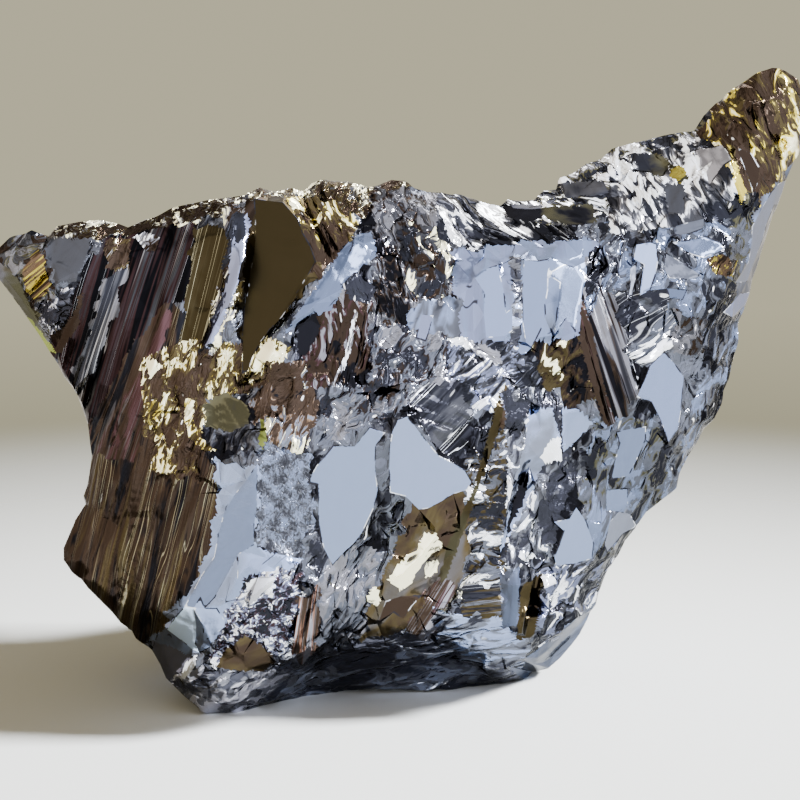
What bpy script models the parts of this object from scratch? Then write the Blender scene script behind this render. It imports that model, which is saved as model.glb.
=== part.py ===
"""A terahertz stone: one lump of broken polycrystalline silicon, standing on a flat fracture at its foot.

The lump is drawn as an observer sees it. Points of the drawing are (across, up) in millimetres on an upright
sheet through the middle of the lump, square to the line of sight, and a depth says how far behind that sheet
the surface lies. Two skins, the near one and the far one, share one rim, and the floor cuts them off flat.
Each skin holds three kinds of ground: mirror facets, fluted bands and the crumpled metal between them.
"""

import math
import random

import bmesh
import bpy
import numpy as np
from mathutils import Vector
from mathutils.geometry import delaunay_2d_cdt

MM = 0.001
NAME = "terahertz_stone"

# The line of sight that the drawing is made along.
SIGHT_DISTANCE = 500.0
SIGHT_ELEVATION = math.radians(12.0)
SHEET_HEIGHT = 38.35  # the drawing's zero above the floor

# How the ground is broken up, in millimetres.
FACET_GAP = 0.30  # each mirror facet stops this far inside its drawn border
BORDER_STEP = 3.2  # longest straight run of a facet's border
BORDER_JITTER = 0.22
RIM_STEP = 1.7  # longest straight run of the rim
RIM_JITTER = 0.22
# A skin rounds off near the rim over this width by this depth, and no chip lies nearer the rim than the last.
NEAR_EDGE = (2.6, 1.5, 0.65)
FAR_EDGE = (4.2, 3.6, 2.7)
NEAR_TIP = 0.07  # a mirror facet's greatest random slope against the skin
FAR_TIP = 0.15
FRINGES = ((0.4, 0.08), (1.2, 0.4), (2.3, 0.55))  # rows on the far skin's rounded edge: inset, unevenness
FRINGE_ROUGH = 0.7
BASE_BACK = 24.0  # depth at which the resting face ends behind
NEAR_CHIP = 1.3  # least spacing of the chips, across their grain
FAR_CHIP = 2.5
CHIP_GAP = 0.16  # each chip stops this far inside its border, so a steep ledge parts it from the next
CHIP_STEP = 0.5  # most that a chip stands proud of the skin or sinks into it
CHIP_TILT = 0.42  # its greatest slope across the grain
CHIP_PITCH = 0.14  # and along it
CHIP_TRIES = 14000
CHIP_REACH = 1.3  # a chip reaches at most this many spacings from its heart
CALM_WIDTH = 2.5  # chips settle into the skin over this distance from the rim
FACET_MARGIN = 0.12  # chips keep this far from a facet's border
FLUTE_MARGIN = 0.3  # and this far from a fluted band
FLUTE_RUN = 4.0  # longest straight run of a flute
FLUTE_FINENESS = 40  # how finely a flute's ends are found
FLUTE_WAVE = 0.08
FLUTE_SPREAD = (0.45, 1.5)  # a flute's width over the mean
FLUTE_HEIGHTS = (0.5, 1.1)  # and its height

# The rim: across, up, depth. FLOOR puts a point where its line of sight meets the floor, plus what is added.
FLOOR = 1000.0
RIM = [
    (-50.75, 17.25, 2), (-50.25, 18.75, 2), (-48.75, 20.25, 2), (-46, 21, 1), (-44, 20.5, 1),
    (-42.75, 21.75, 1), (-40.25, 22.25, 0), (-37.5, 22.5, 0), (-35.25, 22, 0), (-34, 21.5, 0),
    (-32.25, 22.25, 0), (-30.25, 23, 0), (-28.5, 24, 0), (-26.25, 24.5, -1), (-24, 25, -1),
    (-22, 25.25, -1), (-20, 25.5, -1), (-18.75, 26, -1), (-17.5, 26.5, 0), (-15.5, 26, 0),
    (-13.5, 26.5, 0), (-12, 26, 0), (-11, 27, 1), (-9.25, 27.5, 1), (-7, 27.25, 1),
    (-5.25, 27, 2), (-4, 26.5, 3), (-2.75, 26.75, 3), (-1, 27.5, 4), (0.5, 27.25, 4),
    (1.75, 26.5, 5), (3.5, 26, 5), (5.5, 25.75, 6), (7.75, 25.5, 7), (9.5, 25, 8),
    (11, 24.5, 8), (12.5, 24.25, 8), (13.5, 25, 9), (15, 24.75, 9), (16.75, 25, 10),
    (18, 26, 11), (19.5, 26.25, 12), (20, 27.75, 12), (21.75, 28.25, 13), (23.25, 29.5, 13),
    (25, 30, 14), (26.75, 31.5, 14), (28.75, 32, 14), (30.75, 32.5, 14), (32.75, 33, 14),
    (35, 33.5, 13), (36.75, 33.75, 13), (38, 35.5, 12), (39.5, 37, 12), (41.25, 38.5, 11),
    (42.75, 39.75, 11), (44.75, 41, 10), (46.5, 41.5, 10), (48.25, 41, 10), (49.75, 40, 11),
    (50.5, 38, 11), (50.75, 35.25, 12), (50.25, 32.5, 12), (49.25, 29.75, 13), (48.25, 27.5, 13),
    (47.25, 24.5, 13), (46, 21.25, 13), (45, 18, 13), (44, 15, 13), (43.25, 12, 12),
    (42.25, 9.75, 12), (42.25, 7.25, 11), (41.5, 5, 11), (41, 2.5, 10), (40.25, -0.25, 10),
    (39.25, -2.25, 9), (38, -3.5, 9), (37, -5.5, 9), (36, -7, 9), (35, -9, 8),
    (34.5, -11, 8), (32.75, -12.5, 8), (30.75, -14, 7), (29.5, -15.75, 7), (28, -17.5, 6),
    (27, -19.5, 6), (26, -21, 6), (25.25, -23, 6), (24.5, -25.5, 6), (23.25, -27.75, 6),
    (21.5, -30.5, 6), (20, -32.25, 7), (18.5, -33.5, 8), (16.5, -34, 9), (15.5, -35.25, FLOOR + 2),
    (12.5, -35.75, FLOOR + 2), (8.75, -36, FLOOR + 1), (5, -36, FLOOR - 2), (0, -36, FLOOR - 2.5),
    (-5, -36.25, FLOOR - 2), (-8.75, -36.75, FLOOR + 1), (-12.5, -37.5, FLOOR + 2),
    (-16, -38.25, FLOOR + 2), (-18.75, -39, FLOOR + 2), (-20.5, -39.5, FLOOR + 2),
    (-23.5, -39.5, FLOOR + 2), (-24.75, -39, -9), (-25.5, -38.25, -8.5), (-27, -37, -8),
    (-28.25, -35.75, -7), (-29.25, -34.75, -6), (-30, -33, -5), (-31, -31.25, -4),
    (-33, -29.75, -3), (-33.5, -28.75, -3), (-35, -27.75, -2), (-36, -26.5, -1), (-37.5, -25, 0),
    (-39, -23.5, 1), (-41, -21.5, 3), (-42, -20, 4), (-42, -18.5, 4), (-41.25, -16.75, 4),
    (-40.5, -15, 4), (-39.25, -13, 4), (-39.5, -12, 4), (-39, -10.5, 3), (-38.75, -8.75, 3),
    (-38.5, -7, 3), (-38.75, -5, 3), (-39, -3, 3), (-39.75, -0.75, 3), (-40.25, 0.5, 3),
    (-41, 1.75, 3), (-42, 3, 4), (-42.75, 4.5, 4), (-43.75, 6, 4), (-45, 8, 4),
    (-46.75, 10.5, 4), (-48.5, 13, 4), (-50, 15, 3),
]
BASE_SPAN = (-23.0, 15.0)  # the stretch of the rim, across, along which the resting face is

# The grain that the chips follow: across, up, direction above the horizontal in degrees, length over width.
GRAIN = [
    (-45, 12, 62, 2.2), (-38, 15, 66, 2.8), (-36, 0, 76, 3.0), (-34, -20, 76, 3.0), (-24, 12, 78, 3.0),
    (-18, 12, 84, 2.4), (-12, 25, 112, 1.8), (-10, 15, 72, 2.2), (-6, 8, 82, 2.4), (-2, 24, 50, 1.3),
    (3, 20, 112, 1.5), (4, 12, 96, 1.6), (12, 13, 90, 2.2), (20, 10, 100, 2.4), (16, 22, 150, 1.8),
    (24, 27, 20, 1.5), (32, 26, 40, 1.4), (40, 32, 58, 1.8), (45, 36, 60, 1.5), (44, 22, 74, 2.4),
    (37, 18, 70, 1.6), (30, 14, 96, 1.8), (34, 8, 100, 1.4), (28, 3, 108, 2.6), (38, 4, 70, 1.6),
    (30, -5, 62, 1.8), (25, -12, 88, 2.8), (20, -4, 96, 2.2), (19, -14, 88, 2.4), (21, -24, 70, 1.8),
    (14, -14, 70, 2.6), (8, -8, 64, 1.8), (9, 2, 130, 1.6), (2, 0, 96, 1.8), (-6, -2, 92, 2.0),
    (-2, -12, 88, 2.4), (3, -18, 56, 2.2), (-6, -20, 62, 1.8), (-14, -5, 74, 1.6), (-14, -12, 92, 2.2),
    (-22, -12, 64, 2.6), (-20, -24, 50, 1.5), (-12, -27, 92, 1.8), (-4, -29, 60, 1.4), (6, -28, 130, 1.6),
    (12, -27, 84, 1.6), (18, -20, 76, 1.4), (-24, -34, 20, 1.6), (0, -33, 8, 2.4), (14, -31, 30, 2.0),
    (-26, -30, 58, 1.8),
]

# Depths of the near skin inside the rim: across, up, depth.
NEAR_FORM = [
    (-47, 17, 0), (-44, 12, 1), (-37.5, 14.5, -2), (-40, 5, 0.5), (-37.5, -1, 0), (-25, 21, -3),
    (-27.5, 0, -7), (-31, 0, -6), (-33, 12, -3), (-18.5, 24, -3), (-19, 2, -10), (-9, 17, -8),
    (-6, 20, -6), (-10, 15.5, -9), (-16, 8, -12), (-18, -5, -14), (-23, -14, -13), (-24.5, -20, -12),
    (-29, -28, -9), (-36, -10, -1), (-35, -22, -2), (-11, -8, -13), (-2, -5, -12), (-7, -20, -11),
    (-0.5, -2, -11), (10, -10, -8), (2, -14.5, -9), (13, 4, -6), (20, -0.5, -4), (24.5, -3, -3),
    (12.5, 7.5, -5), (15, 17.5, -2), (24.5, 15.5, 0), (25, 20.5, 2.5), (31, 20, 3.5), (37.5, 23, 5),
    (42, 21, 6.5), (43, 17, 8), (36, 3, 3), (35, -5, 4), (30, -10, 3), (25, -10.5, 0),
    (22, -12.5, -2), (25, -19, 1), (18.5, -20, -4), (18, -30, -1), (12.5, -32, -4), (5, -30.5, -5),
    (0, -29.5, -6), (-10, -32, -9), (-12.5, -33, -9), (-20, -36, -10), (-26, -34, -9),
    (-25, -31, -10), (5, 12.5, -5), (-2.5, 16, -6), (4, 23, 0), (10, 20, 0), (20, 21.5, 3.5),
    (27, 23, 5), (32.5, 25, 7), (36, 27, 7.5), (41, 31, 7), (45, 34, 6.5), (44, 25, 6.5),
    (41, 11, 7), (-8, 7, -10), (4, -21, -7), (-2, -34, 3), (8, -34.5, 4), (-10, -35.5, 1),
]

# Depths of the far skin inside the rim.
FAR_FORM = [
    (0, 0, 26.5), (-20, 0, 23.5), (20, 0, 24), (-34, 10, 14), (-42, 17, 8), (30, 15, 22), (42, 30, 19),
    (46, 37, 15), (0, 14, 24), (-20, 14, 17), (20, 18, 22), (0, -18, 26), (-20, -18, 24),
    (15, -18, 24), (-31, -14, 16), (-25, -30, 19), (0, -28, 24), (14, -28, 23), (25, -15, 17),
    (34, 0, 19), (-10, 21, 11), (10, 20, 17), (-30, 18, 8), (38, 12, 20), (-34, -2, 13),
]

# Mirror facets of the near skin. Each is a border, then its lift towards the observer in millimetres.
NEAR_FACETS = {
    "tip_grey": ([(-44, 20.25), (-42.5, 21.25), (-40, 21.75), (-38, 20.75), (-39, 17.75),
                  (-40.5, 15.75), (-43, 14.5), (-43.75, 17.25)], 0.3),
    "tip_under": ([(-50, 16.5), (-47.75, 16), (-46.25, 12.5), (-44.5, 9), (-43, 6.5), (-45, 8.75),
                   (-47.5, 12.5), (-49.5, 15)], 0.0),
    "olive_narrow": ([(-25.25, 21), (-21.5, 20.75), (-21.5, 17.25), (-23.25, 11.25), (-24.75, 7),
                      (-26.75, 0.75), (-28, 0.25), (-27.5, 7.5), (-26.25, 14.5), (-25.5, 18.75)], -0.2),
    "sliver_dark": ([(-21, 20.5), (-20, 23), (-19.25, 20), (-19.25, 18.75), (-20.5, 18.5)], 0.1),
    "sliver_blue": ([(-21, 17.25), (-19.5, 17.75), (-20, 15), (-21.75, 11.25), (-23.5, 7),
                     (-24.5, 6.5), (-23.75, 9), (-22, 13.75)], 0.5),
    "olive_broad": ([(-18.5, 25.5), (-14.5, 25), (-12.5, 22.75), (-11, 19.5), (-10.25, 17.25),
                     (-12.5, 13.5), (-14.5, 10.25), (-17.25, 7), (-18.75, 3.5), (-20, 3),
                     (-20, 8.75), (-19.25, 13.75), (-18.5, 18.75)], -0.5),
    "blue_upper": ([(-7.5, 18.5), (-6, 20.25), (-4.25, 19.75), (-3.5, 17.25), (-6.25, 14),
                    (-8.75, 12.75), (-11, 12.5), (-9.5, 15.25)], 0.6),
    "blue_tail": ([(-10.25, 12.25), (-11.5, 10.5), (-13.75, 8.75), (-15.75, 8), (-14.5, 9.75),
                   (-12.5, 12.25)], 0.5),
    "black_leaf": ([(-12.5, 9.75), (-11, 10.75), (-10.25, 9.25), (-11, 7), (-12.5, 5.25),
                    (-13.75, 6.25), (-13.5, 8)], -0.4),
    "wing_slate": ([(20.25, 26.75), (25.75, 27), (25.75, 25.75), (22.5, 25.25), (20.25, 25)], 0.3),
    "wing_dark": ([(20.25, 24.5), (25.75, 25.25), (26.5, 22.25), (23.25, 22), (19.5, 22.25),
                   (15, 23), (13.5, 23.5), (14, 24.25), (18.25, 24.25)], -0.3),
    "wing_snow": ([(28.5, 28.75), (30.75, 28.5), (32.75, 27.5), (32.5, 25.25), (31.25, 25),
                   (30.5, 27)], 0.4),
    "wing_olive": ([(30.25, 30.25), (33, 30), (33.5, 28.5), (31.5, 28.75)], -0.2),
    "wing_yellow": ([(33.75, 29.5), (35.5, 28.5), (36.25, 27.25), (34, 27.75)], 0.2),
    "wing_grey": ([(33.25, 27), (35.5, 26.5), (35.25, 23), (33.25, 23.25)], 0.0),
    "wing_black": ([(37.25, 29.25), (38.5, 28.75), (39, 26.75), (38.25, 25.75), (37, 26.5)], -0.3),
    "wing_lilac": ([(36.25, 31.5), (40.5, 32.25), (40.75, 29.25), (39.75, 28), (38.75, 29.5),
                    (37.25, 30)], 0.2),
    "horn_streak": ([(41.5, 30.25), (42.25, 28.5), (43.5, 25.5), (43.25, 24.5), (42.5, 25.25),
                     (41.5, 28)], 0.6),
    "horn_brown": ([(41.75, 31.75), (44, 31.25), (45.25, 29), (45, 27), (44, 25), (43.75, 26.25),
                    (42.75, 29)], -0.3),
    "horn_band": ([(44.5, 36.75), (45.75, 36.75), (46.5, 34), (48, 31.75), (47.75, 30.25),
                   (46.5, 31.75), (45.5, 34.5)], 0.2),
    "horn_gold": ([(42.75, 39), (44.5, 39.25), (45.25, 38), (43.5, 37.75)], 0.3),
    "horn_blade": ([(42.75, 37.5), (43.75, 36.5), (44.75, 33.5), (43.75, 34.25)], 0.4),
    "side_high": ([(46.25, 26.25), (47.5, 27.25), (46, 21.75), (45, 18.5), (43.75, 14.5),
                   (43, 14.5), (43.25, 17.25), (43.75, 21.75)], 0.2),
    "side_low": ([(42.5, 13.75), (43.25, 13.5), (42, 10.25), (41.25, 10), (41.5, 12.5)], 0.1),
    "roof_grey": ([(34.25, 22), (38.25, 23), (38.25, 21.25), (36.25, 20.5), (33.75, 20.25)], 0.2),
    "roof_blue": ([(39, 23), (41.75, 21.25), (41.5, 20), (38.75, 21.5)], 0.3),
    "brow_blue": ([(33.75, 19.75), (38.25, 20.75), (40, 20), (41, 18.75), (38, 17.5), (36.25, 18)], 0.5),
    "prism_blue": ([(31, 20), (32.25, 19.75), (32.5, 17.25), (31.5, 13.5), (29.75, 12.75),
                    (30.25, 17)], 0.7),
    "prism_side": ([(28.5, 16.5), (29.75, 17.5), (29.25, 12.75), (28.25, 12.75)], 0.0),
    "shelf_pale": ([(33, 18.75), (35.75, 17.25), (36.75, 16.5), (36.25, 14.75), (33.5, 15),
                    (32.75, 16.25)], 0.1),
    "shelf_low": ([(33, 14.25), (36.25, 14), (35.5, 12.25), (33.5, 12.5)], -0.1),
    "column_a": ([(2.5, 11), (4.5, 10.75), (3.75, 8), (1.75, 7.5)], 0.1),
    "column_b": ([(5, 10.25), (7, 11.25), (6.5, 8.5), (4.75, 7.75)], 0.3),
    "column_c": ([(8, 13.75), (9.5, 15.5), (9.5, 8.25), (7.75, 8.25), (7.25, 10)], 0.0),
    "column_d": ([(10.25, 16.5), (12.5, 17.25), (13.25, 13.75), (13.5, 7.75), (10.5, 7.5)], 0.4),
    "column_e": ([(15.25, 17.75), (19.25, 18), (18.75, 13.75), (18.5, 10), (17.25, 7.5),
                  (15.5, 6.75), (15, 12.5)], 0.3),
    "column_f": ([(20.25, 17.25), (22.25, 17), (23.5, 15), (22.5, 11.25), (22, 8.25), (20.75, 9.75),
                  (19.25, 8), (19.5, 12.5)], 0.6),
    "column_g": ([(22.5, 20.25), (24.75, 20.25), (24.25, 17.25), (22.75, 18)], 0.2),
    "fan_black": ([(28.75, 5.25), (30.25, 4.5), (30.25, 3.25), (29.75, 2)], -0.5),
    "cheek_blue": ([(31, 4.5), (33, 6.5), (35.75, 3), (35.5, 0), (35, -3.75), (33.5, -5.75),
                    (32.5, -3), (31.25, -0.5), (29.25, 0.25), (30.25, 2.5)], 0.5),
    "edge_pale": ([(39.75, 14.5), (41, 15.5), (40.75, 10.75), (39, 10.25)], 0.2),
    "edge_blue": ([(38.25, 9.25), (40, 8.5), (39.75, 4), (38.25, 4.75)], 0.2),
    "jaw_blue": ([(27.75, -3.5), (31, -3), (31, -5), (29.75, -7.75), (28.75, -9.75), (26, -10.25),
                  (26.75, -7)], 0.4),
    "jaw_bowl": ([(32, -10), (33.75, -9.25), (33.75, -10.75), (32.5, -11.5)], -0.2),
    "jaw_cracked": ([(25.5, -11), (28.75, -10.75), (28.75, -13.25), (25.5, -14.25)], 0.1),
    "jaw_low": ([(26, -15), (29, -14), (28, -17), (25.75, -19.5), (25.25, -18)], 0.2),
    "drop_blue": ([(22, -13), (23.5, -15), (24.5, -18), (24.25, -20), (22, -20.75), (19.25, -21),
                   (19, -19.5), (20.25, -16.25)], 0.5),
    "heel_blue": ([(24.25, -26), (22.5, -28.5), (19.5, -32), (18.25, -33), (16.5, -33.25),
                   (17, -32), (19.5, -29.75), (21.75, -27)], 0.2),
    "sole_pale": ([(5.5, -26.75), (12.25, -27.75), (16, -30.5), (15.25, -32.5), (12.5, -31.75),
                   (8, -31), (5.5, -30)], 0.1),
    "post_pale": ([(13, -22.5), (15, -22.5), (15.5, -26.25), (14.5, -29.25), (13, -27.75)], 0.3),
    "post_olive": ([(16.75, -21), (17.5, -21), (17, -25.75), (15.75, -30), (14.9, -29.25),
                    (15.9, -25)], -0.4),
    "blade_pale": ([(16.25, 0), (16.75, -3.75), (15.75, -7.5), (14, -11.25), (13, -16.25),
                    (12.25, -16), (13.5, -9.75), (15.25, -5)], 0.5),
    "blade_black": ([(15.5, -8.75), (16.25, -8), (15, -13.75), (13, -18), (13.75, -13.75)], -0.5),
    "step_pale": ([(17.25, -0.5), (19.5, -0.75), (19.75, -4), (19.5, -7.5), (17.75, -7.75),
                   (16.75, -7), (17.25, -3.75)], 0.6),
    "step_blue": ([(20.25, -1), (22, -0.75), (24.5, -3), (23.5, -5), (22.25, -6.25), (20.5, -6)], 0.0),
    "olive_blade": ([(12.5, -2.5), (11.75, -6.25), (9.75, -13.75), (8.75, -19.5), (6.5, -25),
                     (4.75, -25.75), (5.75, -21.25), (7.25, -16.25), (10, -11), (10.75, -5.75)], -0.6),
    "cup_streak": ([(-0.75, -22.5), (4.5, -16.5), (5.25, -17.25), (0.5, -23.5)], 0.4),
    "cup_bed": ([(1.75, -23.25), (5.5, -18.5), (5.25, -20.75), (3.75, -22.75)], -0.5),
    "cup_brown": ([(-2.25, -25), (0, -24.25), (3, -24.25), (0.5, -27.75), (-1, -26.75)], -0.3),
    "mirror_right": ([(-0.5, -2.25), (1, -1.75), (3, -4.25), (5, -6.75), (8.25, -8.5), (9.25, -10.25),
                      (8.5, -11.5), (6.75, -12), (3.75, -13.75), (2.25, -14), (0.5, -12.25),
                      (-1.5, -11.75), (-1.5, -5.5)], 0.5),
    "mirror_left": ([(-10.75, -8.25), (-8.5, -5.5), (-2.75, -5.25), (-2.5, -11.25), (-3, -13.5),
                     (-4.75, -17.25), (-7, -19.5), (-9.75, -18.75), (-10.5, -15)], 0.4),
    "mirror_chip": ([(-2.5, -14), (-2.25, -17.5), (-3.5, -19.5), (-5, -19), (-4.25, -17.5)], 0.2),
    "frosted": ([(-16.75, -5.75), (-12, -7.5), (-11.25, -10.25), (-11.25, -17.25), (-14, -18.5),
                 (-17, -18), (-17.25, -12.5)], 0.1),
    "slope_high": ([(-17.75, -7.75), (-18, -18.25), (-20, -19.5), (-23, -25), (-25, -25),
                    (-26.5, -24.5), (-23.5, -19.5), (-22.25, -14)], 0.3),
    "slope_mid": ([(-18.75, -19.5), (-14.5, -19.75), (-17.25, -21.5), (-19.25, -25), (-21, -27),
                   (-22.25, -25)], 0.1),
    "slope_low": ([(-29.5, -28.75), (-27, -25.5), (-25.5, -25.75), (-25.25, -30.5), (-26, -31.5),
                   (-27.5, -30.25)], 0.2),
    "slope_toe": ([(-24.75, -25.75), (-22.75, -25.75), (-21.5, -27.75), (-23.75, -30),
                   (-24.75, -30.5)], 0.3),
    "toe_black": ([(-30, -30.25), (-28, -30.25), (-26, -32), (-27.5, -33.75), (-28.5, -34.5),
                   (-29.25, -33)], -0.2),
    "toe_white": ([(-27.25, -34), (-25.5, -32), (-25.75, -33.5), (-27, -35.25)], 0.5),
    "toe_mirror": ([(-19, -25.5), (-18, -22), (-15.5, -21.75), (-16.25, -23.75)], 0.6),
    "toe_olive": ([(-20, -31.5), (-16.25, -31.5), (-16, -33), (-19.25, -34)], 0.0),
    "copper_face": ([(-12, -23.25), (-10.25, -23.75), (-10.75, -27.5), (-11.75, -31.5),
                     (-12.25, -30), (-12, -26.25)], 0.3),
    "copper_edge": ([(-12.9, -23.75), (-12.35, -24), (-13.1, -30), (-13.75, -29.25)], 0.6),
    "under_dark": ([(-9.75, -32.75), (-3.5, -30.75), (0, -30.25), (5, -31.5), (9.75, -33.5),
                    (12, -35), (5, -35.25), (-2.5, -35.25), (-8.75, -35.75), (-11.75, -36)], 0.0),
    "foot_a": ([(-26.25, -36.25), (-23.25, -35.75), (-21.75, -38), (-24.25, -38.5)], 0.2),
    "foot_b": ([(-21.75, -35.5), (-20, -36.25), (-18.75, -38), (-20.5, -38.25)], 0.1),
    "foot_c": ([(-19.25, -35.25), (-13, -35.25), (-14, -37), (-18, -38.25)], 0.2),
    "dimple": ([(-24, -0.25), (-22.25, 0.75), (-18.75, 2), (-18, -1), (-19.5, -4), (-22, -4.5),
                (-24, -3.5)], -0.6),
    "dimple_rim": ([(-22.75, 6), (-21, 6), (-20.5, 3), (-23, 1.25)], 0.3),
    "ridge_olive": ([(-12.5, -2.25), (-9.75, -1.25), (-9, -3.25), (-10.25, -5.75), (-11.75, -7)], 0.0),
    "fan_shadow": ([(4.5, -5), (7.5, -4.5), (7.5, -7.25), (5.75, -6.5)], -0.4),
    "pocket_floor": ([(17.75, 2.75), (19.5, 3.5), (21.5, 2.5), (21.75, 0.5), (20, 0.25),
                      (18.5, 1.5)], -0.8),
    "pocket_lip": ([(17, 6), (19.5, 6.75), (20, 5.25), (18, 4.5)], -0.5),
}

# Fluted bands of the near skin: border, the flutes' direction above the horizontal in degrees, their
# mean width and their height.
NEAR_FLUTES = {
    "tip_bronze": ([(-45.5, 18.5), (-44.75, 19.25), (-43.5, 14.75), (-45.75, 13), (-47.25, 15.75)],
                   48, 0.55, 0.22),
    "dark_flutes": ([(-37, 20), (-32.5, 17.75), (-31.25, 17.25), (-36, 5), (-39, -2), (-42, 3),
                     (-43.25, 7), (-40, 12.5), (-37.75, 17.25)], 73, 0.85, 0.32),
    "dark_bands": ([(-31, 18), (-28.75, 21.5), (-25.75, 22.5), (-25.75, 18.75), (-26.75, 12.5),
                    (-28.5, 5), (-29.5, 0.5), (-31.25, 5), (-32, 8), (-30.25, 12.5)], 79, 1.0, 0.38),
    "gold_streaks": ([(-12.25, 24.5), (-10.25, 26.5), (-6.25, 26.5), (-6.5, 22), (-8, 18.75),
                      (-9.75, 17), (-11, 20)], 115, 0.75, 0.36),
    "brown_cup": ([(-9.25, 12.25), (-6.25, 12.5), (-3, 14.5), (-2, 10), (-2.75, 5), (-4.5, 3.25),
                   (-7.75, 2.5), (-9.75, 3), (-10.25, 7)], 80, 0.9, 0.42),
    "white_chips": ([(4.75, 24.25), (9.5, 24.5), (10, 23), (7.75, 20.5), (5.75, 21.75)],
                    -50, 0.8, 0.4),
    "scallops": ([(12.75, 22.5), (14.5, 22.25), (19.5, 20.5), (21.75, 21), (20, 19.25),
                  (16.25, 18.75), (13.25, 20)], -35, 0.75, 0.38),
    "dark_fan": ([(24.25, 15.5), (25.5, 13.75), (27.75, 8.75), (29.5, 2), (28, -0.5),
                  (25.75, -2.75), (24, 0.5), (23, 6.25), (23, 11)], 105, 0.85, 0.42),
    "ladder": ([(7.75, -22.5), (12.5, -22.75), (12.75, -27), (7.5, -26.5)], -4, 1.0, 0.4),
    "brown_high": ([(-38, -3.75), (-35.25, 7), (-32.75, 7.5), (-31.75, 4.75), (-32.25, 0),
                    (-30.5, -5), (-31.25, -10), (-31, -14), (-38.75, -14)], 80, 1.0, 0.28),
    "brown_low": ([(-39, -14.5), (-31, -14.5), (-30, -20), (-30.5, -25), (-32.25, -28), (-35, -26),
                   (-38.5, -22.5), (-40.75, -19.5), (-40.25, -16.25)], 76, 1.05, 0.28),
    "brown_right": ([(-29.5, -10), (-25, -11.25), (-23.75, -15), (-25, -18.75), (-27.5, -23.75),
                     (-30, -26.5), (-31.25, -27.5), (-29.75, -21.25), (-29.5, -15)], 66, 1.0, 0.32),
    "mid_chips": ([(7, 7), (9.5, 7.25), (12.5, 5), (12.25, 3.25), (10, 4.25), (7.75, 5.5)],
                  -45, 0.7, 0.36),
    "mid_fan": ([(2.5, -0.5), (5, 2), (7.75, 0.5), (10, -0.5), (8.75, -3), (5.5, -4), (3.5, -3.5)],
                -20, 0.65, 0.34),
}

# The far side: facets and fluted bands, drawn in the same view, as if through the stone.
FAR_FACETS = {
    "far_left": ([(-44, 18.5), (-36, 19.5), (-33.5, 8), (-34, -2), (-37, -4), (-39, 4)], 0.3),
    "far_tall": ([(-33, 20), (-24, 22), (-21, 12), (-24, -3), (-30, -10), (-33, -4), (-32, 8)], -0.3),
    "far_roof": ([(-21, 22), (-9, 23.5), (-6, 16), (-11, 4), (-19, 6)], 0.3),
    "far_notch": ([(-6.5, 22), (4, 22), (3, 14), (-4, 15.5)], -0.4),
    "far_broad": ([(6, 21.5), (16, 21), (22, 9), (14, -1), (7, 2), (5, 12)], 0.5),
    "far_wing": ([(18, 22.5), (28, 27.5), (33, 20), (27, 8), (22, 13)], 0.0),
    "far_horn": ([(31, 29), (44, 37.5), (46.5, 33), (40, 22), (34, 21)], 0.3),
    "far_heart": ([(-18, 4), (-6, 2.5), (3, 13), (4, 2), (-1, -9), (-10, -12), (-19, -6)], 0.6),
    "far_low": ([(-30, -13), (-21, -8), (-12, -14), (-17, -26), (-27, -26), (-33, -19)], 0.1),
    "far_sole": ([(-9, -14.5), (0, -11), (4, -17), (0, -27), (-12, -28), (-14, -24)], -0.2),
    "far_blade": ([(3, -1), (14, -3.5), (20, -10), (17, -22), (8, -24), (4, -14)], 0.4),
    "far_side": ([(23, 6), (29, 6), (35, 10), (36, 2), (30, -10), (24, -13), (17, -4)], 0.0),
    "far_cheek": ([(30, 18), (39, 19), (42, 13), (38, 11), (30, 9)], 0.2),
}
FAR_FLUTES = {
    "far_rake": ([(43, 26), (46, 25), (44, 16), (42.5, 20)], 75, 1.2, 0.4),
    "far_ribs": ([(-20, 13), (-14, 4), (-19, 5), (-23, -3)], 70, 1.1, 0.4),
    "far_comb": ([(19, -12), (24, -15), (20, -29), (13, -29.5), (18, -22)], 66, 1.2, 0.4),
}

EYE = Vector((0.0, -SIGHT_DISTANCE * math.cos(SIGHT_ELEVATION),
              SHEET_HEIGHT + SIGHT_DISTANCE * math.sin(SIGHT_ELEVATION)))
SHEET_UP = Vector((0.0, math.sin(SIGHT_ELEVATION), math.cos(SIGHT_ELEVATION)))


def sight(across, up):
    """The direction from the eye through a point of the drawing."""
    return Vector((across, 0.0, SHEET_HEIGHT)) + up * SHEET_UP - EYE


def at_depth(across, up, depth):
    """The point at that depth on a drawing point's line of sight."""
    ray = sight(across, up)
    return EYE + ray * ((depth - EYE.y) / ray.y)


def floor_depth(across, up):
    """The depth at which a line of sight meets the floor."""
    ray = sight(across, up)
    return EYE.y - ray.y * EYE.z / ray.z


def rim_depth(across, up, depth):
    return floor_depth(across, up) + depth - FLOOR if depth > FLOOR / 2 else depth


def inside(points, border):
    """Which drawing points lie inside a closed border."""
    points = np.asarray(points, float).reshape(-1, 2)
    found = np.zeros(len(points), bool)
    for (ax, ay), (bx, by) in zip(border, border[1:] + border[:1]):
        if ay == by:
            continue
        spans = (ay > points[:, 1]) != (by > points[:, 1])
        found ^= spans & (points[:, 0] < (bx - ax) * (points[:, 1] - ay) / (by - ay) + ax)
    return found


def over_base(point):
    """Whether a drawing point is on the stretch of the rim along which the resting face is."""
    return BASE_SPAN[0] < point[0] < BASE_SPAN[1] and point[1] < -33


def distances(points, border):
    """The distance from each drawing point to a closed border."""
    points = np.asarray(points, float)
    nearest = np.full(len(points), np.inf)
    for a, b in zip(border, border[1:] + border[:1]):
        start, run = np.array(a), np.subtract(b, a)
        share = np.clip((points - start) @ run / (run @ run), 0, 1)
        gap = np.linalg.norm(points - start - share[:, None] * run, axis=1)
        nearest = np.minimum(nearest, gap)
    return nearest


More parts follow.
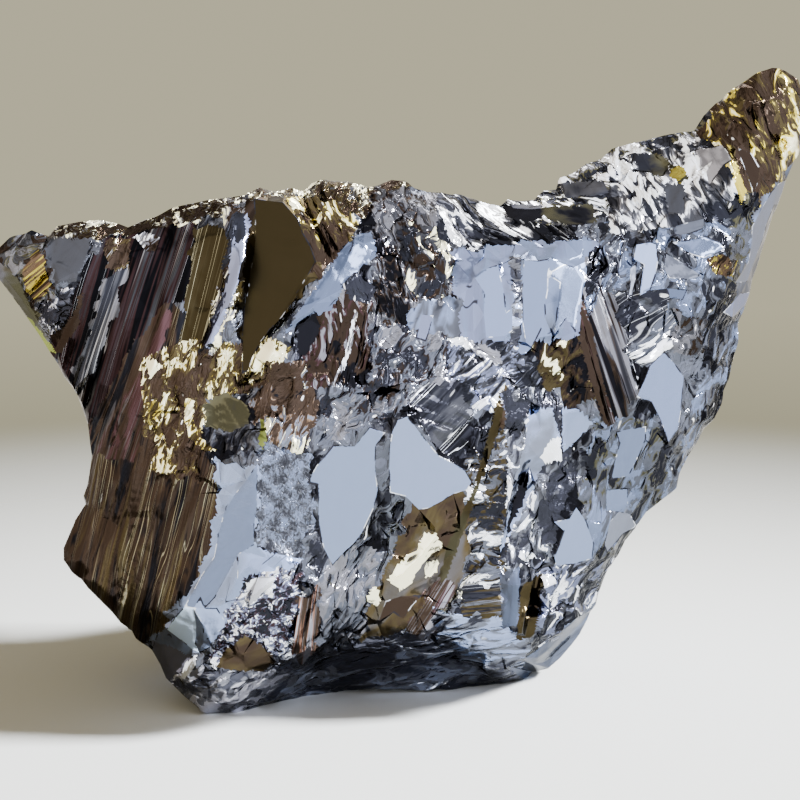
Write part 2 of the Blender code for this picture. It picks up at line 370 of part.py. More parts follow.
def shrunk(border, gap):
    """A border moved inwards by gap, corner by corner."""
    area = sum(ax * by - bx * ay for (ax, ay), (bx, by) in zip(border, border[1:] + border[:1]))
    side = 1.0 if area > 0 else -1.0
    moved = []
    for before, corner, after in zip(border[-1:] + border[:-1], border, border[1:] + border[:1]):
        first = (Vector(corner) - Vector(before)).normalized()
        second = (Vector(after) - Vector(corner)).normalized()
        inward = Vector((-first.y - second.y, first.x + second.x)) * side
        width = max(inward.length_squared / 2, 0.7)
        moved.append(tuple(Vector(corner) + inward * (gap / width)))
    return moved


def broken(border, step, jitter, chance):
    """A border with its long runs broken up, each new corner a little off the straight line."""
    points = []
    for a, b in zip(border, border[1:] + border[:1]):
        start, run = Vector(a), Vector(b) - Vector(a)
        pieces = max(1, math.ceil(run.length / step))
        across = Vector((-run.y, run.x)).normalized()
        for i in range(pieces):
            off = chance.uniform(-jitter, jitter) if i else 0.0
            points.append(tuple(start + run * (i / pieces) + across * off))
    return points


def grain_at(across, up):
    """The direction along the grain and the length over width of a chip there."""
    pull = [((x - across) ** 2 + (y - up) ** 2 + 4.0) ** -2 for x, y, _, _ in GRAIN]
    turned = [(math.cos(math.radians(2 * g[2])), math.sin(math.radians(2 * g[2]))) for g in GRAIN]
    level = sum(w * t[0] for w, t in zip(pull, turned))
    steep = sum(w * t[1] for w, t in zip(pull, turned))
    angle = math.atan2(steep, level) / 2
    stretch = sum(w * g[3] for w, g in zip(pull, GRAIN)) / sum(pull)
    return Vector((math.cos(angle), math.sin(angle))), stretch


def grain_gaps(points, spot, along, stretch):
    """How far points are from a spot: along the grain, in chip lengths over widths, across it and in all."""
    runs = np.subtract(points, spot)
    lengthwise = runs @ (along.x, along.y) / stretch
    sideways = runs @ (-along.y, along.x)
    return lengthwise, sideways, np.hypot(lengthwise, sideways)


def clipped(polygon, normal, reach):
    """The part of a convex polygon whose points p have p.normal < reach."""
    kept = []
    for a, b in zip(polygon, polygon[1:] + polygon[:1]):
        before, after = a.dot(normal) - reach, b.dot(normal) - reach
        if before < 0:
            kept.append(a)
        if before * after < 0:
            kept.append(a.lerp(b, before / (before - after)))
    return kept


class Form:
    """A smooth skin through known depths: a thin plate."""

    def __init__(self, known):
        self.known = np.array([p[:2] for p in known], float)
        depths = np.array([p[2] for p in known], float)
        count = len(known)
        flat = np.hstack([np.ones((count, 1)), self.known])
        matrix = np.zeros((count + 3, count + 3))
        matrix[:count, :count] = self.bend(self.known)
        matrix[:count, count:] = flat
        matrix[count:, :count] = flat.T
        self.weights = np.linalg.solve(matrix, np.concatenate([depths, np.zeros(3)]))

    def bend(self, points):
        apart = np.linalg.norm(points[:, None] - self.known[None], axis=2)
        return apart**2 * np.log(np.maximum(apart, 1e-9))

    def depth(self, points):
        points = np.asarray(points, float).reshape(-1, 2)
        flat = np.hstack([np.ones((len(points), 1)), points])
        return self.bend(points) @ self.weights[:-3] + flat @ self.weights[-3:]


class Skin:
    """One side of the stone: drawing points with depths, and the lines that its edges follow."""

    def __init__(self, rim, known, towards, edge, chance):
        self.rim = rim
        self.border = [p[:2] for p in rim]
        self.form = Form(known)
        self.towards = towards  # -1 where the skin swells towards the eye, 1 where it swells away
        self.edge_width, self.edge_swell, self.margin = edge
        self.chance = chance
        self.places = [p[:2] for p in rim]
        self.depths = [p[2] for p in rim]
        self.lines = [(i, (i + 1) % len(rim)) for i in range(len(rim))]
        self.taken = []

    def surface(self, points):
        """The skin's own depth at drawing points, rounded off near the rim."""
        near = np.minimum(distances(points, self.border), self.edge_width) / self.edge_width
        return self.form.depth(points) + self.towards * self.edge_swell * np.sqrt(1 - (1 - near) ** 2)

    def add(self, places, depths, closed=False, joined=True):
        first = len(self.places)
        self.places += [tuple(p) for p in places]
        self.depths += [float(d) for d in depths]
        count = len(places)
        if joined:
            last = count if closed else count - 1
            self.lines += [(first + i, first + (i + 1) % count) for i in range(last)]

    def facet(self, border, lift, tip):
        """A flat facet that follows the skin, tipped a little at random."""
        outline = broken(shrunk(border, FACET_GAP), BORDER_STEP, BORDER_JITTER, self.chance)
        solid = np.array([at_depth(*p, d) for p, d in zip(outline, self.surface(outline))])
        middle = solid.mean(0)
        normal = np.linalg.svd(solid - middle)[2][-1]
        normal = normal * (-1.0 if normal[1] > 0 else 1.0)
        normal = normal + [self.chance.uniform(-tip, tip), 0, self.chance.uniform(-tip, tip)]
        middle[1] += self.towards * lift
        depths = []
        for place in outline:
            ray = np.array(sight(*place))
            share = (middle - EYE) @ normal / (ray @ normal)
            depths.append(EYE.y + share * ray[1])
        self.add(outline, depths, closed=True)
        self.taken.append((border, FACET_MARGIN))

    def flutes(self, border, degrees, width, height):
        """Long ridges and furrows side by side, of uneven width."""
        along = Vector((math.cos(math.radians(degrees)), math.sin(math.radians(degrees))))
        across = Vector((-along.y, along.x))
        offsets = [across.dot(Vector(p)) for p in border]
        reach = [along.dot(Vector(p)) for p in border]
        stretch = np.linspace(min(reach), max(reach), FLUTE_FINENESS + 1)
        stride = max(1, round(FLUTE_RUN / (stretch[1] - stretch[0])))
        offset = min(offsets) + width * 0.4
        crest = 1
        while offset < max(offsets):
            line = [tuple(along * r + across * offset) for r in stretch]
            kept = [p for p, within in zip(line, inside(line, border)) if within]
            if len(kept) > 2:
                ends = kept[:-1:stride] + kept[-1:]
                level = crest * height * self.chance.uniform(*FLUTE_HEIGHTS)
                wave = [level + self.chance.uniform(-FLUTE_WAVE, FLUTE_WAVE) for _ in ends]
                self.add(ends, self.surface(ends) + self.towards * np.array(wave))
            crest = -crest
            offset += width * self.chance.uniform(*FLUTE_SPREAD)
        self.taken.append((border, FLUTE_MARGIN))

    def chip_hearts(self, spacing, floor_band):
        """Where the chips sit: scattered, closer across the grain than along it."""
        low, high = np.min(self.border, axis=0), np.max(self.border, axis=0)
        spots = [(self.chance.uniform(low[0], high[0]), self.chance.uniform(low[1], high[1]))
                 for _ in range(CHIP_TRIES)]
        free = inside(spots, self.border) & (distances(spots, self.border) > self.margin)
        for border, margin in self.taken:
            free &= ~inside(spots, border) & (distances(spots, border) > margin)
        if floor_band:
            free &= np.array([not (BASE_SPAN[0] < x < BASE_SPAN[1] and y < -32) for x, y in spots])
        hearts, grains = [], []
        for spot, ok in zip(spots, free):
            if not ok:
                continue
            along, stretch = grain_at(*spot)
            if not hearts or grain_gaps(hearts, spot, along, stretch)[2].min() > spacing:
                hearts.append(spot)
                grains.append((along, stretch))
        return hearts, grains

    def chips(self, spacing, floor_band):
        """Broken ground between the facets: small flat chips, each tipped and stepped against the next."""
        hearts, grains = self.chip_hearts(spacing, floor_band)
        for heart, (along, stretch) in zip(hearts, grains):
            here = Vector(heart)
            across = Vector((-along.y, along.x))
            size = CHIP_REACH * spacing
            cell = [Vector(corner) * size for corner in ((-1, -1), (1, -1), (1, 1), (-1, 1))]
            lengthwise, sideways, gaps = grain_gaps(hearts, heart, along, stretch)
            for i in np.flatnonzero((gaps > 0) & (gaps < 3 * size)):
                local = Vector((lengthwise[i], sideways[i]))
                cell = clipped(cell, local.normalized(), local.length / 2 - CHIP_GAP)
            if len(cell) < 3:
                continue
            corners = [tuple(here + along * (c.x * stretch) + across * c.y) for c in cell]
            free = inside(corners, self.border) & (distances(corners, self.border) > self.margin)
            for border, margin in self.taken:
                free &= ~inside(corners, border) & (distances(corners, border) > margin)
            kept = [c for c, ok in zip(corners, free) if ok]
            step = self.chance.uniform(-CHIP_STEP, CHIP_STEP)
            tilt = self.chance.uniform(-CHIP_TILT, CHIP_TILT)
            pitch = self.chance.uniform(-CHIP_PITCH, CHIP_PITCH)
            if not kept:
                continue
            calm = np.minimum(1.0, distances(kept, self.border) / CALM_WIDTH)
            runs = [Vector(c) - here for c in kept]
            raised = np.array([step + tilt * r.dot(across) + pitch * r.dot(along) for r in runs])
            self.add(kept, self.surface(kept) + self.towards * calm * raised, joined=False)

    def fringe(self):
        """Uneven rows of points inside the rim, so that no triangle has all its corners on the rim."""
        for inset, jitter in FRINGES:
            row = [(x + self.chance.uniform(-jitter, jitter), y + self.chance.uniform(-jitter, jitter))
                   for x, y in shrunk(self.border, inset)]
            free = inside(row, self.border) & (distances(row, self.border) > inset - jitter)
            row = [p for p, ok in zip(row, free) if ok and not over_base(p)]
            rough = [self.chance.uniform(-FRINGE_ROUGH, FRINGE_ROUGH) for _ in row]
            self.add(row, self.surface(row) + np.array(rough), joined=False)

    def base_row(self):
        """Behind the foot the far skin runs under the floor, so that the floor cuts a flat face there."""
        row = [(p[0], p[1] + 1.1) for p in self.rim if over_base(p)]
        self.add(row, [BASE_BACK] * len(row))
        high = [(x, -34.4) for x in np.linspace(BASE_SPAN[0] + 1, BASE_SPAN[1] - 1, 9)]
        self.add(high, [BASE_BACK] * len(high), joined=False)

    def mesh(self):
        """The skin's solid points, its triangles, and which of its own points each solid point is."""
        result = delaunay_2d_cdt([Vector(p) for p in self.places], self.lines, [], 0, 1e-6, True)
        places, triangles, sources = result[0], result[2], result[3]
        points = []
        for place, source in zip(places, sources):
            depth = self.depths[source[0]] if source else self.surface([tuple(place)])[0]
            points.append(at_depth(place.x, place.y, depth))
        middles = [sum((places[i] for i in t), Vector((0, 0))) / 3 for t in triangles]
        held = inside(middles, self.border)
        kept = [list(t) for t, within in zip(triangles, held) if within]
        return points, kept, [s[0] if s else None for s in sources]


def rim_points(chance):
    """The rim with its long runs broken up."""
    points = []
    for a, b in zip(RIM, RIM[1:] + RIM[:1]):
        start, end = (Vector((x, y, rim_depth(x, y, d))) for x, y, d in (a, b))
        run = end - start
        pieces = max(1, round(run.xy.length / RIM_STEP))
        normal = Vector((-run.y, run.x, 0)).normalized()
        for i in range(pieces):
            off = chance.uniform(-RIM_JITTER, RIM_JITTER) if i else 0.0
            points.append(tuple(start + run * (i / pieces) + normal * off))
    return points


def skins():
    """The near and the far skin, on one rim."""
    chance = random.Random(11)
    rim = rim_points(chance)
    near = Skin(rim, rim + NEAR_FORM, -1, NEAR_EDGE, chance)
    for border, lift in NEAR_FACETS.values():
        near.facet(border, lift, NEAR_TIP)
    for flutes in NEAR_FLUTES.values():
        near.flutes(*flutes)
    near.chips(NEAR_CHIP, False)
    foot = [(x, -35.5, BASE_BACK) for x in np.linspace(BASE_SPAN[0] + 2, BASE_SPAN[1] - 2, 8)]
    far = Skin(rim, [p for p in rim if not over_base(p)] + foot + FAR_FORM, 1, FAR_EDGE, chance)
    far.base_row()
    far.fringe()
    for border, lift in FAR_FACETS.values():
        far.facet(border, lift, FAR_TIP)
    for flutes in FAR_FLUTES.values():
        far.flutes(*flutes)
    far.chips(FAR_CHIP, True)
    return near, far


def joined(near, far):
    """Both skins as one closed mesh."""
    mesh = bmesh.new()
    rim_corners = {}
    for skin, turned in ((near, False), (far, True)):
        points, triangles, sources = skin.mesh()
        corners = []
        for point, source in zip(points, sources):
            on_rim = source is not None and source < len(skin.rim)
            if on_rim and source in rim_corners:
                corners.append(rim_corners[source])
                continue
            corner = mesh.verts.new(point * MM)
            if on_rim:
                rim_corners[source] = corner
            corners.append(corner)
        for triangle in triangles:
            order = reversed(triangle) if turned else triangle
            mesh.faces.new([corners[i] for i in order])
    bmesh.ops.recalc_face_normals(mesh, faces=mesh.faces)
    return mesh


def cut_at_floor(mesh):
    """Cuts the mesh off at the floor, closes the cut and keeps the one lump."""
    everything = list(mesh.verts) + list(mesh.edges) + list(mesh.faces)
    bmesh.ops.bisect_plane(mesh, geom=everything, dist=1e-6, plane_co=(0, 0, 0), plane_no=(0, 0, 1),
                           clear_inner=True)
    bmesh.ops.holes_fill(mesh, edges=[e for e in mesh.edges if e.is_boundary], sides=0)
    bmesh.ops.triangulate(mesh, faces=[f for f in mesh.faces if len(f.verts) > 3])
    bmesh.ops.recalc_face_normals(mesh, faces=mesh.faces)


def make_material():
    """Bright, bluish grey silicon."""
    material = bpy.data.materials.new("silicon_metal")
    material.use_nodes = True
    shader = material.node_tree.nodes["Principled BSDF"]
    shader.inputs["Base Color"].default_value = (0.50, 0.53, 0.60, 1.0)
    shader.inputs["Metallic"].default_value = 1.0
    shader.inputs["Roughness"].default_value = 0.16
    return material


def main():
    for old in list(bpy.data.objects):
        bpy.data.objects.remove(old)
    mesh = joined(*skins())
    cut_at_floor(mesh)
    middle = [(min(v.co[i] for v in mesh.verts) + max(v.co[i] for v in mesh.verts)) / 2 for i in (0, 1)]
    bmesh.ops.translate(mesh, verts=mesh.verts, vec=(-middle[0], -middle[1], 0))
    data = bpy.data.meshes.new(NAME)
    mesh.to_mesh(data)
    mesh.free()
    data.materials.append(make_material())
    stone = bpy.data.objects.new(NAME, data)
    bpy.context.scene.collection.objects.link(stone)


main()
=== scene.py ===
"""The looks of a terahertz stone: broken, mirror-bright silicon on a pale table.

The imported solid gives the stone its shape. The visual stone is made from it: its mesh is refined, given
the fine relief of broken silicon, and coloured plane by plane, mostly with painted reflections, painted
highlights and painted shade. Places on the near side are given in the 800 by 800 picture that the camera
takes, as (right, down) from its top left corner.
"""

import math
from dataclasses import dataclass

import bmesh
import bpy
import numpy as np
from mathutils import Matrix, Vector


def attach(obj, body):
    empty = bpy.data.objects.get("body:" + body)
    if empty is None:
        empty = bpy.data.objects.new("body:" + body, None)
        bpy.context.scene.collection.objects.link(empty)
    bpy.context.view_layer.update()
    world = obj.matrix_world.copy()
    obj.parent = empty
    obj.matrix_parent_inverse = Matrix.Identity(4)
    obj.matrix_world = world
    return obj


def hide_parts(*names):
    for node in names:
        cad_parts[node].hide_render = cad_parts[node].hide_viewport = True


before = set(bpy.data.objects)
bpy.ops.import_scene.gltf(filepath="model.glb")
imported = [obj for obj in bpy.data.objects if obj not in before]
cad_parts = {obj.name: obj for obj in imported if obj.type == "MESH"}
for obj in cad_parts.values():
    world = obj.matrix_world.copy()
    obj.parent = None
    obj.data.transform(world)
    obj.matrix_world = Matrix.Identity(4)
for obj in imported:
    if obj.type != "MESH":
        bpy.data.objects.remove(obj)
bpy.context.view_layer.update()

MM = 0.001
NODE = "terahertz_stone"

# The camera, in millimetres in the stone's own frame.
SIGHT_DISTANCE = 500.0
SIGHT_ELEVATION = math.radians(12.0)
AIM = np.array([-0.32, -9.50, 38.35])
FRAME_WIDTH = 100.0  # what the picture spans at the aim
FRAME_PX = 800
SENSOR = 36.0
CLIP_START = 0.01  # in metres
BACKWARD = np.array([0.0, -math.cos(SIGHT_ELEVATION), math.sin(SIGHT_ELEVATION)])
SHEET_UP = np.array([0.0, math.sin(SIGHT_ELEVATION), math.cos(SIGHT_ELEVATION)])
EYE = AIM + SIGHT_DISTANCE * BACKWARD

# The mesh, in millimetres.
NEAR_EDGE = 0.58  # the longest edge on the side that the camera sees
FAR_EDGE = 1.50  # and on the other side
BASE_EDGE = 6.0  # and on the base
BASE_LEVEL = 0.01  # a plane lower than this is the base
GROUNDED = 0.02  # points lower than this stay where they are, and no other point comes lower
WELD = 0.01  # points that round to the same multiple of this are one
COPLANAR = math.cos(math.radians(5.0))
SHARP = math.radians(30.0)

# The stone's tints, as sRGB numbers, mostly painted light on a grey silver metal: the dark ones paint shade
# and dark reflections, snow and cream paint highlights, and the hues paint the colours that the stone
# mirrors.
# What each one looks like depends on what its plane mirrors.
PALETTE = {
    "ice": (124, 138, 170), "lilac": (126, 133, 162), "frost": (94, 98, 110), "snow": (236, 239, 246),
    "silver": (122, 122, 130), "steel": (70, 71, 77), "slate": (41, 42, 49), "ink": (20, 20, 24),
    "olive": (64, 56, 38), "moss": (86, 84, 66), "umber": (48, 39, 33), "plum": (62, 44, 46),
    "bronze": (104, 84, 66), "gold": (202, 184, 80), "cream": (253, 247, 208), "copper": (116, 84, 70),
    "lime": (150, 160, 84),
}
PAINTED_GLINTS = ("snow", "cream")  # painted highlight tints, which keep their own brightness in every area
TONE = 0.69  # the brightness of all the other tints
BAND_SIZE = 4  # the most tints in a band


@dataclass
class Finish:
    """How a kind of ground is broken. Lengths are in millimetres."""

    across: float  # breadth of a wave, square to the grain
    along: float  # length of a wave, along the grain
    swell: float  # height of the waves, in the material
    heave: float  # height of the larger waves, in the mesh
    melt: int  # passes that level the solid's corners
    broken: float  # how far each chip's colours are shifted
    crisp: float  # how sharp the borders of the colours are
    threads: float  # strength of the thin painted highlight lines along the grain
    nicks: float  # strength of the short dark cracks across the grain
    specks: float  # strength of the painted glint specks
    dull: float  # roughness
    wear: float  # how far the brightness strays


FINISHES = {
    "rubble": Finish(1.50, 2.5, 0.20, 0.26, 6, 0.85, 12, 0.0, 0.0, 1.0, 0.09, 0.30),
    "crumple": Finish(0.95, 2.6, 0.15, 0.24, 6, 0.40, 12, 0.0, 0.0, 0.8, 0.09, 0.30),
    "lace": Finish(0.62, 1.5, 0.13, 0.24, 6, 0.45, 8, 0.0, 0.0, 1.0, 0.09, 0.30),
    "grit": Finish(0.60, 0.9, 0.10, 0.12, 5, 0.90, 5, 0.0, 0.0, 1.0, 0.14, 0.30),
    "scallops": Finish(1.50, 5.5, 0.19, 0.28, 7, 0.10, 14, 0.3, 0.0, 0.5, 0.09, 0.25),
    "folds": Finish(1.40, 3.8, 0.19, 0.30, 7, 0.35, 14, 0.0, 0.0, 0.6, 0.09, 0.25),
    "strands": Finish(0.90, 30.0, 0.06, 0.08, 43, 0.00, 4, 0.35, 0.0, 0.0, 0.14, 0.25),
    "staves": Finish(1.15, 40.0, 0.06, 0.06, 10, 0.00, 12, 0.3, 0.0, 0.0, 0.13, 0.20),
    "striae": Finish(0.90, 26.0, 0.06, 0.06, 10, 0.00, 8, 0.4, 0.0, 0.1, 0.13, 0.20),
    "brushed": Finish(0.75, 9.0, 0.09, 0.12, 14, 0.00, 3, 0.2, 0.0, 0.2, 0.13, 0.22),
    "threaded": Finish(0.95, 7.0, 0.04, 0.06, 14, 0.00, 2, 0.75, 0.0, 0.3, 0.12, 0.10),
    "columns": Finish(3.0, 10.0, 0.02, 0.08, 24, 0.00, 2, 0.0, 1.0, 0.0, 0.13, 0.12),
    "smooth": Finish(4.0, 9.0, 0.02, 0.02, 3, 0.00, 2, 0.0, 0.0, 0.0, 0.12, 0.10),
    "mirror": Finish(6.0, 9.0, 0.008, 0.01, 0, 0.00, 2, 0.0, 0.0, 0.0, 0.11, 0.04),
    "clouded": Finish(6.0, 9.0, 0.008, 0.01, 0, 0.00, 2, 0.0, 0.0, 0.0, 0.32, 0.06),
    "frosted": Finish(0.36, 0.5, 0.05, 0.02, 4, 0.20, 1.4, 0.0, 0.0, 0.3, 0.28, 0.20),
}

# Ground, by area: the corners of its border, brightness, up to four tints from the troughs to the crests
# with their shares, finish, and the degrees of its grain above the level. Brightness and tints are painted
# light: they paint how bright the area's reflections are, mostly with painted shade in the troughs and
# painted highlights on the crests. A later area lies over the earlier ones. A last tint with no share is
# for the painted highlight threads only.
GROUND = {
    "all": ("-50,-50 850,-50 850,850 -50,850", 1.0, "ink 0.8, slate 2, steel 2, frost 3", "rubble", 78),
    "upper right": ("600,225 765,200 745,320 600,330",
        0.72, "slate 1.6, steel 1.6, frost 3, ice 2.6", "rubble", 82),
    "brown flank": ("50,370 170,300 200,340 190,400 215,470 222,500 215,540 195,580 157,633 133,645 80,610 "
        "40,553 70,508", 1.6, "ink 1.4, umber 6, olive 1, cream 0", "brushed", 76),
    "purple flank": ("137,335 170,300 160,380 135,460 70,455 70,400",
        1.6, "ink 1.4, umber 4, plum 1.8, silver 0", "brushed", 68),
    "tip": ("-8,228 45,233 48,262 62,350 40,360 -8,276",
        0.92, "umber 1.5, steel 3, moss 1, silver 2", "rubble", 50),
    "tip edge": ("-8,258 10,268 26,290 40,325 62,352 40,360 -8,290",
        0.85, "moss 1, silver 3", "smooth", 50),
    "tip plane": ("46,238 100,231 76,280 56,284 47,262", 0.95, "steel 3, silver 1", "smooth", 60),
    "tip stripes": ("33,250 45,256 50,283 33,298 24,277",
        0.9, "umber 2.6, bronze 2.2, gold 1.4", "striae", 38),
    "left bands": ("100,240 200,213 197,300 165,305 140,335 88,430 60,385 48,345",
        0.56, "ink 4, plum 3, steel 1.6, snow 0", "strands", 72),
    "left bands, grey": ("103,278 128,266 112,330 84,392 72,382 90,330",
        1.1, "slate 2, steel 3, silver 2, snow 0", "strands", 70),
    "left bands, top": ("104,240 132,240 128,268 106,268",
        1.8, "umber 3, olive 2, silver 1, cream 1", "crumple", 70),
    "left bands, plum": ("52,338 88,292 79,325 62,356", 1.2, "umber 1", "smooth", 60),
    "left hollow": ("38,300 75,286 70,306 58,335 40,322",
        4.0, "ink 3, slate 2, silver 2, snow 1", "rubble", 40),
    "left rim": ("40,214 150,205 240,185 240,212 160,228 100,238 45,241",
        0.7, "umber 3, olive 2.4, silver 1.8, cream 0.5", "grit", 20),
    "olive side": ("194,226 230,228 229,262 212,322 185,385 166,400 182,330",
        0.7, "umber 2, olive 7, cream 0", "strands", 76),
    "gold sparkle": ("140,365 190,335 205,345 265,335 292,350 278,368 245,395 205,400 200,480 150,470",
        1.75, "umber 4.4, olive 4, gold 0.5, cream 1.1", "lace", 72),
    "sliver, sides": ("226,205 256,205 250,270 214,356 198,350 224,270",
        1.1, "slate 2, umber 3, silver 1.6, cream 0.7", "crumple", 74),
    "olive heart": ("247,195 262,191 288,196 305,235 318,270 298,300 262,340 248,366 240,350 243,270",
        1.0, "umber 4, olive 5", "smooth", 80),
    "crumbly rim": ("255,180 410,174 410,215 372,222 330,206 285,200 240,197",
        1.0, "umber 2.6, olive 2.8, steel 1.5, cream 0.8", "lace", 60),
    "gold folds": ("285,195 336,200 358,222 340,252 318,282 305,262 300,225",
        1.5, "umber 3.6, olive 4, gold 0.8, cream 1.7", "folds", 112),
    "brown chips": ("272,365 312,360 322,405 300,455 262,440 250,400",
        1.7, "umber 3.4, bronze 0.6, frost 2.6, cream 0.6", "crumple", 70),
    "dark cup": ("312,290 385,285 388,350 368,385 312,385 298,340",
        1.0, "ink 2, umber 4.6, plum 1, silver 0.9", "folds", 84),
    "upper rubble": ("372,186 455,196 458,310 372,330",
        0.85, "ink 1.6, umber 1.4, steel 3, silver 2.2", "crumple", 108),
    "gold rubble": ("398,225 452,228 450,300 408,300",
        0.78, "slate 2.5, umber 2.2, steel 3, cream 0.2", "rubble", 100),
    "white stripes": ("436,192 482,196 482,252 438,240",
        0.85, "ink 1.4, slate 3, steel 1.6, snow 2.3", "folds", 128),
    "notch": ("478,196 575,205 578,252 485,252",
        0.55, "ink 3, slate 3, silver 1, snow 1.8", "scallops", 145),
    "columns": ("452,250 598,238 594,340 560,352 455,350", 0.88, "lilac 1, ice 5", "columns", 88),
    "pale shelf": ("408,305 460,298 458,345 408,345", 1.0, "steel 1, frost 2, ice 4", "columns", 80),
    "dark slope": ("536,180 612,170 618,215 540,230",
        1.15, "ink 2.4, slate 3, moss 1, snow 2.3", "folds", 158),
    "slope crest": ("552,185 575,145 610,135 700,108 705,140 612,172 575,182",
        1.0, "slate 2.6, moss 1.5, silver 2, snow 1.8", "rubble", 130),
    "slope": ("605,165 705,140 737,130 740,212 700,226 612,230",
        0.9, "slate 3.4, steel 2.4, silver 1.2, snow 1.9", "folds", 122),
    "horn": ("696,130 735,80 800,50 840,60 806,150 778,190 748,225 728,165",
        1.5, "umber 3.4, olive 3, gold 2.2, cream 1.3", "folds", 112),
    "right edge": ("800,150 794,172 772,235 744,320 728,312 745,235 762,200",
        1.0, "steel 0.7, frost 3, ice 3", "columns", 72),
    "right seams": ("728,200 760,190 752,240 738,300 722,330 700,330 722,290 728,250",
        0.85, "ink 1, slate 2, moss 1.2, frost 2.4", "rubble", 72),
    "right ball": ("612,292 668,292 674,345 655,372 625,370",
        0.85, "slate 2.4, steel 2, frost 3, snow 1.4", "scallops", 30),
    "right pit": ("672,310 705,318 706,358 675,354", 0.7, "umber 3, steel 2, silver 1", "rubble", 80),
    "right rim": ("705,318 750,300 740,400 715,450 690,485 660,510 645,500 690,420",
        0.85, "ink 0.8, slate 2, frost 3, ice 2", "rubble", 72),
    "bronze fan": ("590,258 612,298 640,392 618,430 600,422 582,360 582,300",
        0.95, "ink 3.4, umber 1.2, steel 1.2, silver 3.4", "staves", 108.5),
    "splinters": ("592,418 662,418 668,500 630,560 600,610 580,500",
        0.8, "slate 2.4, moss 1, frost 3, ice 2.5", "folds", 76),
    "olive pocket": ("535,346 586,336 600,400 565,406 543,390",
        0.98, "ink 2, umber 2.4, olive 3, cream 0.5", "folds", 60),
    "cross striae": ("444,336 505,342 540,360 535,420 470,412 440,380",
        0.7, "slate 1.6, steel 2, lilac 3, snow 0.5", "crumple", 40),
    "middle rubble": ("372,325 452,336 448,380 412,400 395,415 330,440 320,400 368,385",
        0.95, "slate 2, umber 1, frost 3, silver 1.8", "rubble", 60),
    "plum plane": ("410,396 430,382 458,380 470,420 466,462 438,448 420,420",
        1.15, "ink 1, slate 3, steel 1, snow 0", "threaded", 48),
    "frosted": ("258,440 312,455 315,520 300,548 258,548",
        1.05, "slate 0.7, steel 2, frost 3, ice 1.4", "frosted", 95),
    "pale slope": ("215,460 258,470 256,548 300,555 245,610 190,657 148,640 195,580 213,540",
        1.5, "frost 1, ice 6", "columns", 60),
    "toe sparkle": ("244,578 303,565 300,660 210,665 215,640",
        0.95, "slate 2, plum 1.6, lilac 3, snow 1", "grit", 35),
    "low middle": ("305,540 355,548 398,555 385,590 372,632 318,655 322,600",
        1.05, "slate 2.4, steel 2, frost 3, silver 2", "folds", 60),
    "copper": ("298,598 322,588 316,640 306,664 290,662",
        1.9, "umber 2, copper 1.4, silver 2.2", "striae", 82),
    "foot": ("150,655 215,668 300,655 310,702 215,730 140,690",
        3.8, "slate 2, steel 3, silver 1.6", "rubble", 28),
    "gold cup": ("413,500 474,480 486,440 502,386 505,430 480,520 458,590 440,620 362,640 375,590 395,555",
        1.7, "umber 4, olive 5, steel 1.4", "smooth", 58),
    "cup stripes": ("398,640 440,572 458,585 425,652", 1.55, "umber 3, plum 1, silver 2.4", "striae", 58),
    "ladder": ("462,470 492,424 512,440 512,560 504,632 450,632 470,560",
        0.98, "slate 3, olive 1.4, frost 2.6, snow 0.25", "rubble", 10),
    "ladder, bars": ("466,585 504,585 504,628 460,628",
        1.2, "slate 2, olive 2, frost 2, snow 0.4", "striae", 6),
    "pale column": ("505,388 562,390 575,470 552,562 505,562",
        1.45, "slate 2.6, steel 1.6, frost 2.4, snow 0.9", "rubble", 82),
    "heel sparkle": ("536,560 612,560 606,612 560,642 536,650",
        0.84, "slate 2, steel 2, lilac 3, snow 1.4", "rubble", 30),
    "heel": ("612,596 560,680 498,680 525,660 575,618", 1.15, "frost 1, ice 5", "columns", 40),
    "sole": ("434,610 500,618 530,640 522,672 440,650",
        1.6, "slate 1.2, steel 1, frost 2, ice 3", "folds", 12),
    "underside": ("262,710 300,668 330,650 365,640 400,632 430,643 500,664 540,690 470,710 380,715 290,725 "
        "245,735", 3.8, "slate 5, steel 2, frost 0.8", "folds", 10),
}
